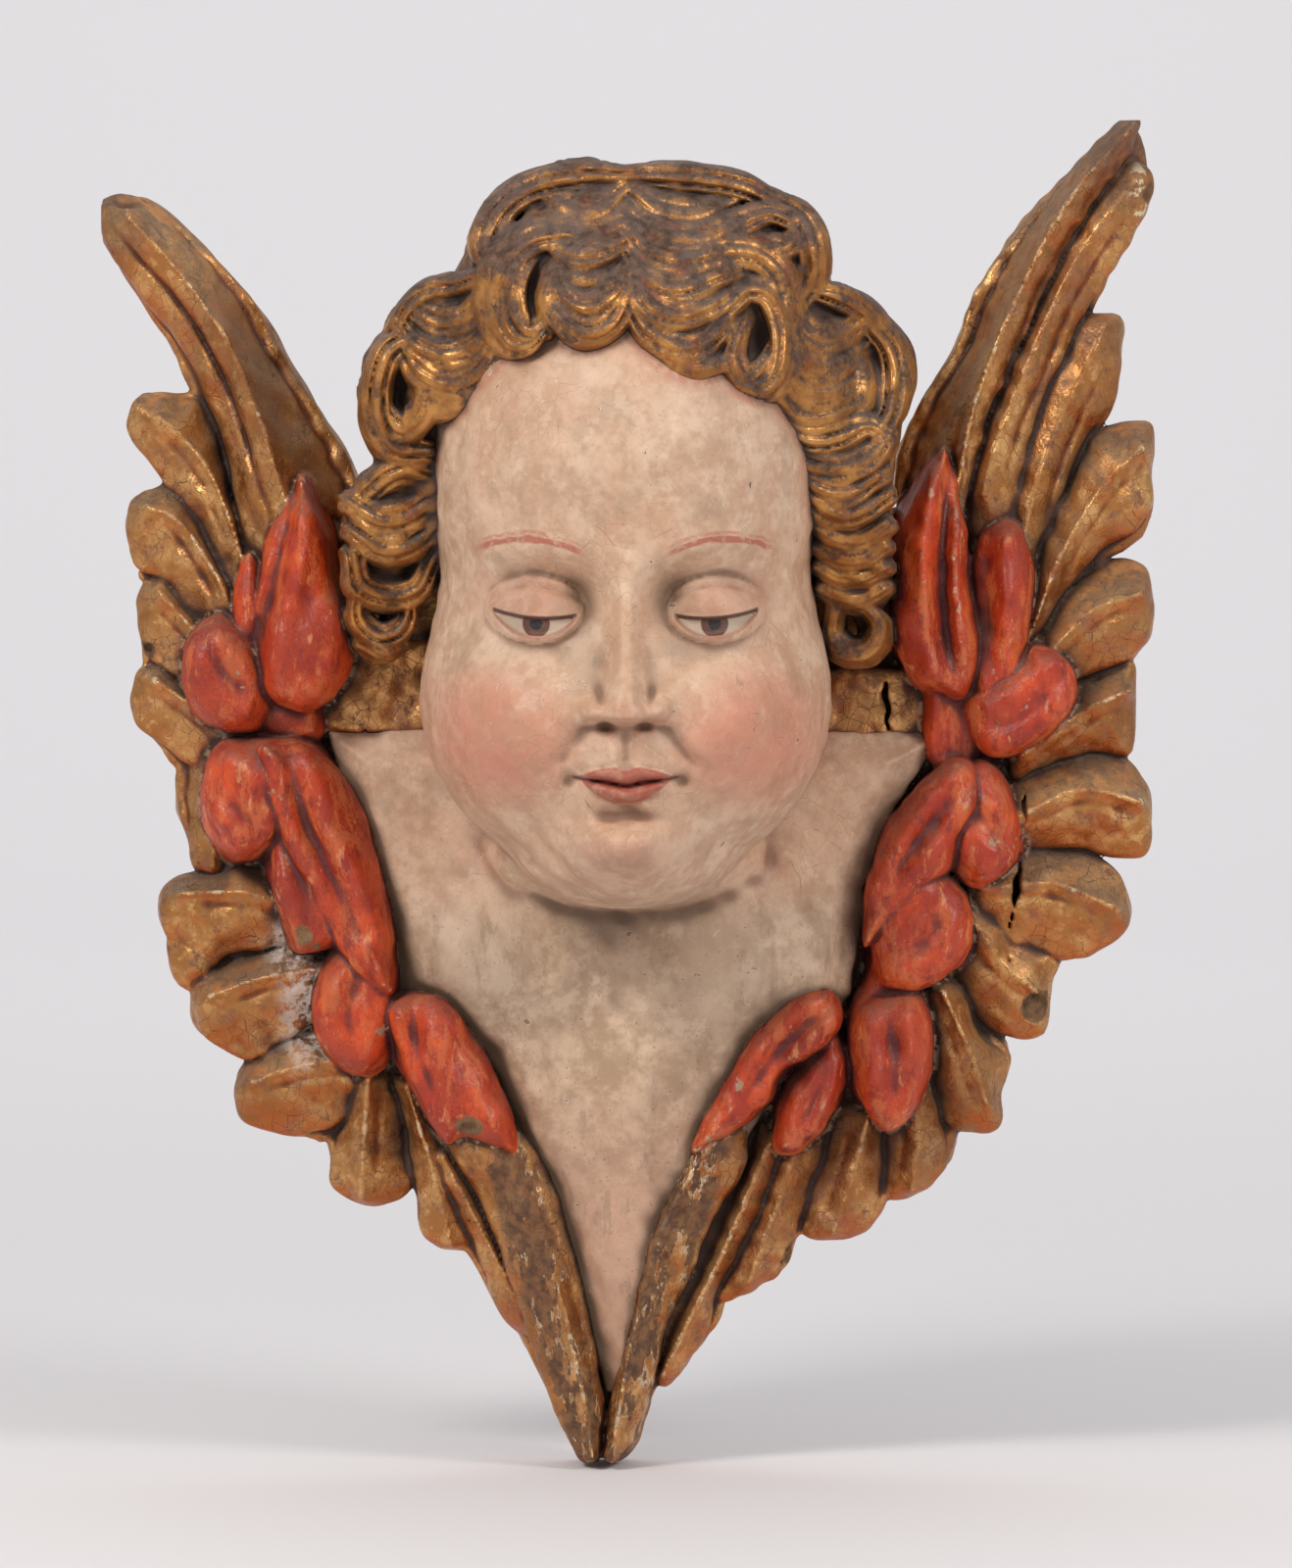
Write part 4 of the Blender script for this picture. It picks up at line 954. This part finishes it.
def start(name):
    """A new material and the noises and masks that all the paints share."""
    global NEW, LINK, OBJ, PX, PY, PZ, NORZ, groove, hollow, n_big, n_mid, n_small, n_fine, n_patch, both, strokes
    global up, down, crease, deep, edge, specks, m_back, m_raw, material
    material = bpy.data.materials.new(name)
    material.use_nodes = True
    nt = material.node_tree
    nt.nodes.clear()
    NEW, LINK = nt.nodes.new, nt.links.new
    OBJ = Val(NEW("ShaderNodeTexCoord").outputs["Object"])
    sep = NEW("ShaderNodeSeparateXYZ"); LINK(OBJ.s, sep.inputs[0])
    PX, PY, PZ = (Val(sep.outputs[i]) for i in range(3))
    nsep = NEW("ShaderNodeSeparateXYZ"); LINK(NEW("ShaderNodeNewGeometry").outputs["Normal"], nsep.inputs[0])
    NORZ = Val(nsep.outputs[2])
    groove, hollow = attr("groove"), attr("hollow")
    n_big = noise(38, 2, 0.5, w=1.0)
    n_mid = noise(12, 3, 0.6, w=2.0)
    n_small = noise(3.2, 4, 0.62, w=3.0)
    n_fine = noise(0.9, 2, 0.6, w=4.0)
    n_patch = noise(8, 4, 0.70, w=5.0)
    strokes = noise(7, 4, 0.66, vec=warp((1.0, 1.0, 0.28)), w=6.0)
    both = n_mid * 0.6 + n_small * 0.4
    up = ramp(NORZ, 0.10, 0.80)
    down = ramp(NORZ, -0.15, -0.75)
    crease = ramp(groove + (n_small - 0.5) * 0.05, 0.015, 0.15)
    deep = ramp(hollow + (n_mid - 0.5) * 0.06, 0.02, 0.22)
    edge = ramp(groove + (n_small - 0.5) * 0.07, -0.12, -0.23)
    specks = ramp(n_fine * 0.65 + n_small * 0.35, 0.615, 0.66)
    m_back = ramp(attr("back") + (n_small - 0.5) * 1.2, -0.3, 0.3)
    m_raw = ramp(attr("raw") + (n_small - 0.5) * 2.0, -0.4, 0.4)


def gold_paint(hair):
    """Gold leaf over red ground, rubbed, browned and dusty. Gives colour, shine, roughness, fine cracks."""
    if hair:
        clean = ramp(n_patch * 0.7 + n_mid * 0.3 + (n_fine - 0.5) * 0.2 + op("MULTIPLY", NORZ, -0.10), 0.40, 0.55)
        worn = mix(ramp(n_small, 0.35, 0.65), "3f291a", "67472f")
        worn = mix(ramp(strokes, 0.50, 0.62) * 0.5, worn, "63301c")
        leaf = mix(ramp(n_mid, 0.35, 0.68), "966132", "c88f50")
    else:
        clean = ramp(n_patch + (n_fine - 0.5) * 0.25, 0.34, 0.50)
        worn = mix(ramp(n_small, 0.35, 0.65), "6d4227", "9a6a3e")
        leaf = mix(ramp(n_mid, 0.35, 0.68), "ac7440", "daa76c")
    c = mix(clean, worn, leaf)
    if not hair:
        c = mix(ramp(n_patch * 0.5 + n_small * 0.5, 0.53, 0.62) * 0.50, c, "edbf80")
        c = mix(ramp(n_big + (n_mid - 0.5) * 0.5, 0.46, 0.60) * 0.55, c, "8a5634")
    c = mix(ramp(strokes + (n_small - 0.5) * 0.5, 0.58, 0.71) * (0.55 if not hair else 0.45), c, "8e431f")
    if not hair:
        c = mix(down * ramp(n_mid, 0.30, 0.50) * 0.80, c, "b95a20")
        c = mix(ramp(groove, 0.00, 0.09) * ramp(n_mid, 0.32, 0.52) * 0.75, c, "94401a")
    c = mix(crease * 0.90, c, "2c1910")
    c = mix(deep * (0.70 if not hair else 0.80), c, "2a1a12")
    c = mix(up * ramp(both, 0.36, 0.58) * (0.84 if not hair else 0.80), c, "6a543f" if not hair else "62524a")
    c = mix(specks * 0.60, c, "2c1d14")
    craq = ramp(cells(4.2), 0.022, 0.006) * ramp(n_mid, 0.42, 0.60)
    if not hair:
        c = mix(craq * 0.55, c, "2f2016")
    c = mix(edge * ramp(n_small, 0.46, 0.60) * 0.45, c, "dcb07a" if not hair else "9c7a5a")
    shine = clean * (1.0 - up * 0.85) * (1.0 - deep * 0.8) * (1.0 - specks) * (1.0 - crease * 0.7)
    if hair:
        shine = shine * 0.9
    rough = mixf(clean, 0.62, ramp(n_small, 0.3, 0.7, 0.28, 0.46))
    return c, shine, rough, craq


def red_paint():
    """Red glaze over an orange ground, brushed, worn and dusty."""
    c = mix(ramp(n_mid, 0.35, 0.66), "9e290d", "cf4a16")
    c = mix(ramp(n_big + (n_mid - 0.5) * 0.6, 0.46, 0.62) * 0.52, c, "7d1d12")
    c = mix(ramp(noise(5, 5, 0.72, vec=warp((1.0, 1.0, 0.45)), w=9.0), 0.50, 0.66) * 0.60, c, "5e1714")
    wear = ramp(strokes + (n_fine - 0.5) * 0.20, 0.50, 0.62)
    c = mix(wear * 0.50, c, "d4703a")
    c = mix(ramp(noise(4.2, 5, 0.72, vec=warp((1.0, 1.0, 0.35)), w=10.0), 0.59, 0.66) * 0.55, c, "d9925f")
    c = mix(crease * 0.80, c, "450f10")
    c = mix(ramp(groove, 0.0, 0.10) * ramp(n_mid, 0.32, 0.56) * 0.42, c, "5c1a20")
    c = mix(deep * 0.62, c, "380d0b")
    c = mix(up * ramp(both * 0.6 + n_fine * 0.4, 0.38, 0.58) * 0.66, c, "7d5a4a")
    c = mix(edge * ramp(n_small, 0.44, 0.60) * 0.60, c, "d98350")
    c = mix(specks * 0.55, c, "4a2118")
    bare = ramp(noise(11, 4, 0.6, w=12.5), 0.68, 0.71)
    c = mix(bare * 0.9, c, "9a8467")
    return c, ramp(n_small, 0.3, 0.7, 0.30, 0.54)


def flesh_paint():
    c = mix(ramp(both, 0.38, 0.62), "ba9579", "d1b196")
    c = mix(ramp(n_big, 0.40, 0.62) * 0.35, c, "c99878")
    c = mix(ramp(noise(16, 4, 0.6, w=13.0), 0.55, 0.66) * 0.34, c, "9b8269")
    c = mix(ramp(n_patch, 0.56, 0.65) * 0.26, c, "e6d0b6")
    for sgn in (-1, 1):
        c = mix(at(sgn * 39, 8, 23, 21) * ramp(n_mid, 0.25, 0.65, 0.45, 1.0) * 0.66, c, "c56e54")
        c = mix(at(sgn * 29, EYE + 2, 19, 9) * 0.40, c, "ab6c56")
        c = mix(at(sgn * 16, 44, 7, 14) * 0.40, c, "7d6852")
    c = mix(at(0, 14, 15, 7) * 0.30, c, "bd7a62")
    c = mix(at(0, CHIN - 2, 14, 9) * 0.26, c, "c07d66")
    near_hair = ramp(attr("lead_flesh"), 4.2, 0.6) * ramp(PZ, 0.010, 0.040)
    c = mix(near_hair * ramp(n_small, 0.3, 0.6) * 0.60, c, "a95a45")
    jaw = ramp(groove, 0.02, 0.09) * ramp(PZ, 0.000, -0.020) * ramp(PZ, -0.070, -0.050)
    c = mix(jaw * 0.45, c, "a5614c")
    c = mix(crease * 0.60, c, "6e4a38")
    c = mix(deep * 0.50, c, "6b5743")
    c = mix(ramp(n_fine, 0.66, 0.73) * 0.40, c, "7b5f48")
    thin = ramp(cells(6.5), 0.010, 0.003) * ramp(n_big, 0.45, 0.6)
    c = mix(thin * 0.5, c, "6d543f")

    # chest: greyer and dirtier, pinker toward its point
    chest = ramp(PZ, -0.036, -0.056)
    d = mix(ramp(both, 0.38, 0.62), "a6896d", "caad92")
    d = mix(ramp(n_big, 0.38, 0.62) * 0.54, d, "876d58")
    d = mix(ramp(n_patch + (n_big - 0.5) * 0.6, 0.52, 0.68) * 0.34, d, "d3bda4")
    d = mix(op("MAXIMUM", at(30, -62, 14, 22), at(-48, -56, 18, 18)) * 0.45, d, "d2b79e")
    d = mix(ramp(PZ, -0.090, -0.150) * 0.60, d, "c2937a")
    d = mix(ramp(strokes + (n_small - 0.5) * 0.3, 0.54, 0.68) * 0.42, d, "7a5f4b")
    d = mix(deep * 0.92, d, "42301f")
    d = mix(crease * 0.6, d, "52402c")
    d = mix(specks * 0.62, d, "4c3a29")
    c = mix(chest * 0.94, c, d)

    # eyes, brows and lips
    lash, low, et = attr("lash"), attr("eye_low"), attr("eye_t")
    in_eye = ramp(op("ABSOLUTE", et), 1.04, 0.96)
    white = in_eye * ramp(lash, 0.15, -0.15) * ramp(low, -0.15, 0.15)
    c = mix(white, c, "b29b86")
    c = mix(white * ramp(attr("iris"), 4.6, 4.1), c, "5a3726")
    c = mix(white * ramp(attr("iris"), 2.3, 1.8), c, "130c0a")
    c = mix(in_eye * ramp(op("ABSOLUTE", lash - 0.2), 0.95, 0.35) * 0.9, c, "45221a")
    c = mix(in_eye * ramp(op("ABSOLUTE", low + 0.5), 0.9, 0.3) * 0.6, c, "96523f")
    brow = attr("brow") + (noise(5, 3, 0.6, vec=warp((0.3, 1.0, 1.0)), w=17.0) - 0.5) * 2.6
    in_brow = ramp(op("ABSOLUTE", attr("brow_t")), 1.0, 0.70)
    c = mix(in_brow * ramp(op("ABSOLUTE", brow), 1.35, 0.55) * ramp(n_small, 0.26, 0.50) * 0.78, c, "a54a38")
    c = mix(in_brow * ramp(op("ABSOLUTE", brow - 2.0), 0.90, 0.25) * ramp(n_small, 0.40, 0.56) * 0.55, c, "ad5a48")
    lip = ramp(attr("lip_up"), 0.4, -0.5) * ramp(attr("lip_dn"), -0.4, 0.5) * ramp(op("ABSOLUTE", PX), 0.0160, 0.0135)
    c = mix(lip * ramp(n_small, 0.25, 0.60, 0.45, 0.88), c, "9c4433")
    c = mix(ramp(op("ABSOLUTE", attr("lip_line")), 0.7, 0.2) * ramp(op("ABSOLUTE", PX), 0.0170, 0.0150) * 0.8, c, "4e2019")
    # lost paint: brown ground with a pale rim
    loss_n = noise(7.5, 4, 0.62, w=19.5)
    loss = ramp(loss_n, 0.705, 0.715)
    c = mix(ramp(loss_n, 0.690, 0.702) * 0.7, c, "dccbb6")
    c = mix(loss * 0.9, c, "705844")
    return c, ramp(n_small, 0.3, 0.7, 0.40, 0.60), loss


def finish(base, shine, rough, height):
    grain = noise(6, 4, 0.6, vec=warp((1.0, 1.0, 0.12)), w=31.0)
    wood = mix(ramp(grain, 0.30, 0.70), "5c3f29", "8f6b46")
    wood = mix(ramp(grain * 0.5 + n_fine * 0.5, 0.52, 0.66) * 0.6, wood, "402d1f")
    base = mix(op("MAXIMUM", m_raw, m_back), base, wood)
    rough = mixf(op("MAXIMUM", m_raw, m_back), rough, 0.82)
    rough = mixf(op("MAXIMUM", up * 0.6, deep * 0.7), rough, 0.80)
    bsdf = NEW("ShaderNodeBsdfPrincipled")
    LINK(base.s, bsdf.inputs["Base Color"])
    LINK(rough.s, bsdf.inputs["Roughness"])
    if shine is not None:
        LINK((shine * (1.0 - m_raw) * (1.0 - m_back) * 0.88).s, bsdf.inputs["Metallic"])
    bump = NEW("ShaderNodeBump"); bump.inputs["Strength"].default_value = 0.60; bump.inputs["Distance"].default_value = 0.0011
    LINK(height.s, bump.inputs["Height"]); LINK(bump.outputs["Normal"], bsdf.inputs["Normal"])
    LINK(bsdf.outputs[0], NEW("ShaderNodeOutputMaterial").inputs[0])
    return material


start("gilded_and_red_wing")
m_red = ramp(attr("lead_red") + (n_small - 0.5) * 1.4, -0.35, 0.35)
gold, shine, g_rough, craq = gold_paint(False)
red, r_rough = red_paint()
base = mix(m_red, gold, red)
chip_n = noise(4.0, 3, 0.64, w=41.0)
chip = edge * ramp(chip_n, 0.56, 0.60) * (1.0 - m_back)
base = mix(chip * 0.85, base, "cdb898")
# the two lowest feathers: gold gone down to brown wood, with scabs of white ground left on it
off_l = op("ABSOLUTE", PX + 0.0394 + (PZ + 0.1196) * 0.310 + (n_mid - 0.5) * 0.008)
off_r = op("ABSOLUTE", PX - 0.0260 - (PZ + 0.1196) * 0.319 + (n_mid - 0.5) * 0.008)
low = op("MAXIMUM", ramp(off_l, 0.0100, 0.0060), ramp(off_r, 0.0100, 0.0060)) * ramp(PZ, -0.108, -0.124) * (1.0 - m_red) * (1.0 - m_back)
scab = noise(11, 5, 0.66, vec=warp((1.0, 1.0, 0.40)), w=61.0)
bare = low * ramp(scab, 0.47, 0.50)
base = mix(bare * 0.88, base, mix(ramp(n_small, 0.35, 0.65), "3f281b", "78502f"))
base = mix(low * ramp(scab, 0.455, 0.472) * ramp(scab, 0.500, 0.482) * ramp(n_patch, 0.48, 0.58) * 0.95, base, "d3ba9a")
# dark bare tips above, one of them with white ground showing
tip = op("MAXIMUM", at(152, 190, 16, 22), at(-157, 163, 11, 14) * 0.8) * ramp(n_mid, 0.30, 0.50) * (1.0 - m_red)
base = mix(tip * 0.75, base, mix(ramp(n_small, 0.35, 0.65), "3d2a1e", "6b4630"))
white = at(159, 171, 4, 11) * ramp(n_patch, 0.50, 0.56)
base = mix(white * 0.9, base, "d5c4a2")
bare = op("MAXIMUM", bare, op("MAXIMUM", tip * 0.8, white))
# pale old filler beside the red on the left wing
pale = op("MAXIMUM", at(-99, -80, 9, 20), at(-104, -62, 8, 9)) * ramp(n_small * 0.6 + n_patch * 0.4, 0.44, 0.56) * (1.0 - m_red)
base = mix(pale * 0.9, base, "cbbcb0")
bare = op("MAXIMUM", bare, pale)
seam = ramp(attr("lead_red"), -1.8, -0.4) * ramp(attr("lead_red"), 1.0, 0.0) * ramp(chip_n, 0.49, 0.55)
base = mix(seam * 0.50, base, "b99b7c")
rel = n_mid * 0.42 + n_small * 0.36 + n_fine * 0.16 + strokes * 0.16 + noise(4.5, 3, 0.6, w=51.0, distort=1.6) * 0.36
WING = finish(base, shine * (1.0 - m_red) * (1.0 - chip) * (1.0 - bare), mixf(bare, mixf(m_red, g_rough, r_rough), 0.7), rel - craq * 0.30 - bare * 0.35)

start("gilded_hair")
gold, shine, g_rough, craq = gold_paint(True)
HAIR = finish(gold, shine, g_rough, n_mid * 0.45 + n_small * 0.34 + n_fine * 0.14)

start("painted_flesh")
flesh, f_rough, loss = flesh_paint()
FLESH = finish(flesh, None, f_rough, n_mid * 0.55 + n_small * 0.34 + n_fine * 0.14 + strokes * 0.32 - loss * 0.55)

for obj in OBJS:
    obj.data.materials.append({"hair": HAIR, "face_and_chest": FLESH}.get(obj.name, WING))
    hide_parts("carved_angel_head")
    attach(obj, "root")

# ------------------------------------------------------------------ stage
def plain(name, hexc, roughness):
    m = bpy.data.materials.new(name); m.use_nodes = True
    b = m.node_tree.nodes["Principled BSDF"]
    b.inputs["Base Color"].default_value = rgb(hexc); b.inputs["Roughness"].default_value = roughness
    return m


FLOOR_Z = -0.2235
# a wide paper floor that sweeps up far behind the carving
fm = bpy.data.meshes.new("floor")
prof = [(-7.0, 0.0), (2.6, 0.0)] + [(2.6 + 1.6 * math.sin(a), 1.6 - 1.6 * math.cos(a)) for a in np.linspace(0.1, math.pi / 2, 14)] + [(4.2, 6.0)]
fv = [(sx_, y_, FLOOR_Z + z_) for y_, z_ in prof for sx_ in (-8.0, 8.0)]
ff = [(2 * i, 2 * i + 1, 2 * i + 3, 2 * i + 2) for i in range(len(prof) - 1)]
fm.from_pydata(fv, [], ff)
fm.polygons.foreach_set("use_smooth", np.ones(len(ff), dtype=bool))
floor = bpy.data.objects.new("floor", fm); scene.collection.objects.link(floor)
fm.materials.append(plain("floor_paper", "dfdcdd", 0.9))

scene.view_settings.view_transform = "Standard"
scene.view_settings.look = "None"
world = bpy.data.worlds.new("studio"); scene.world = world; world.use_nodes = True
bg = world.node_tree.nodes["Background"]
bg.inputs[0].default_value = rgb("eff0f2"); bg.inputs[1].default_value = 0.60


def area(name, loc, target, size, power, color=(1, 1, 1)):
    ld = bpy.data.lights.new(name, "AREA"); ld.energy = power; ld.size = size; ld.color = color
    ob = bpy.data.objects.new(name, ld); scene.collection.objects.link(ob)
    ob.location = loc
    ob.rotation_euler = (Vector(target) - Vector(loc)).to_track_quat("-Z", "Y").to_euler()


area("key", (-0.95, -1.25, 1.05), (0, -0.05, 0.0), 0.50, 18.5, (1.0, 0.97, 0.93))
area("second", (1.20, -1.05, 0.80), (0, -0.05, 0.0), 0.50, 11.0, (1.0, 0.98, 0.96))
area("backdrop", (0, 2.2, 2.5), (0, 3.6, 0.1), 2.6, 41, (0.98, 0.99, 1.0))

# ------------------------------------------------------------------ camera
cam_d = bpy.data.cameras.new("camera"); cam = bpy.data.objects.new("camera", cam_d)
scene.collection.objects.link(cam); scene.camera = cam
ELEV = math.radians(3.0)
AIM = Vector((0.0062, -0.05, -0.0094))
DIST = 3.6
cam.location = AIM + Vector((0, -math.cos(ELEV), math.sin(ELEV))) * DIST
cam.rotation_euler = (AIM - cam.location).to_track_quat("-Z", "Y").to_euler()
cam_d.sensor_fit = "VERTICAL"; cam_d.sensor_height = 24.0
cam_d.lens = 24.0 * (DIST + 0.03) * 1.008 / (1600 * 0.0003066)
cam_d.clip_start = 0.05; cam_d.clip_end = 50
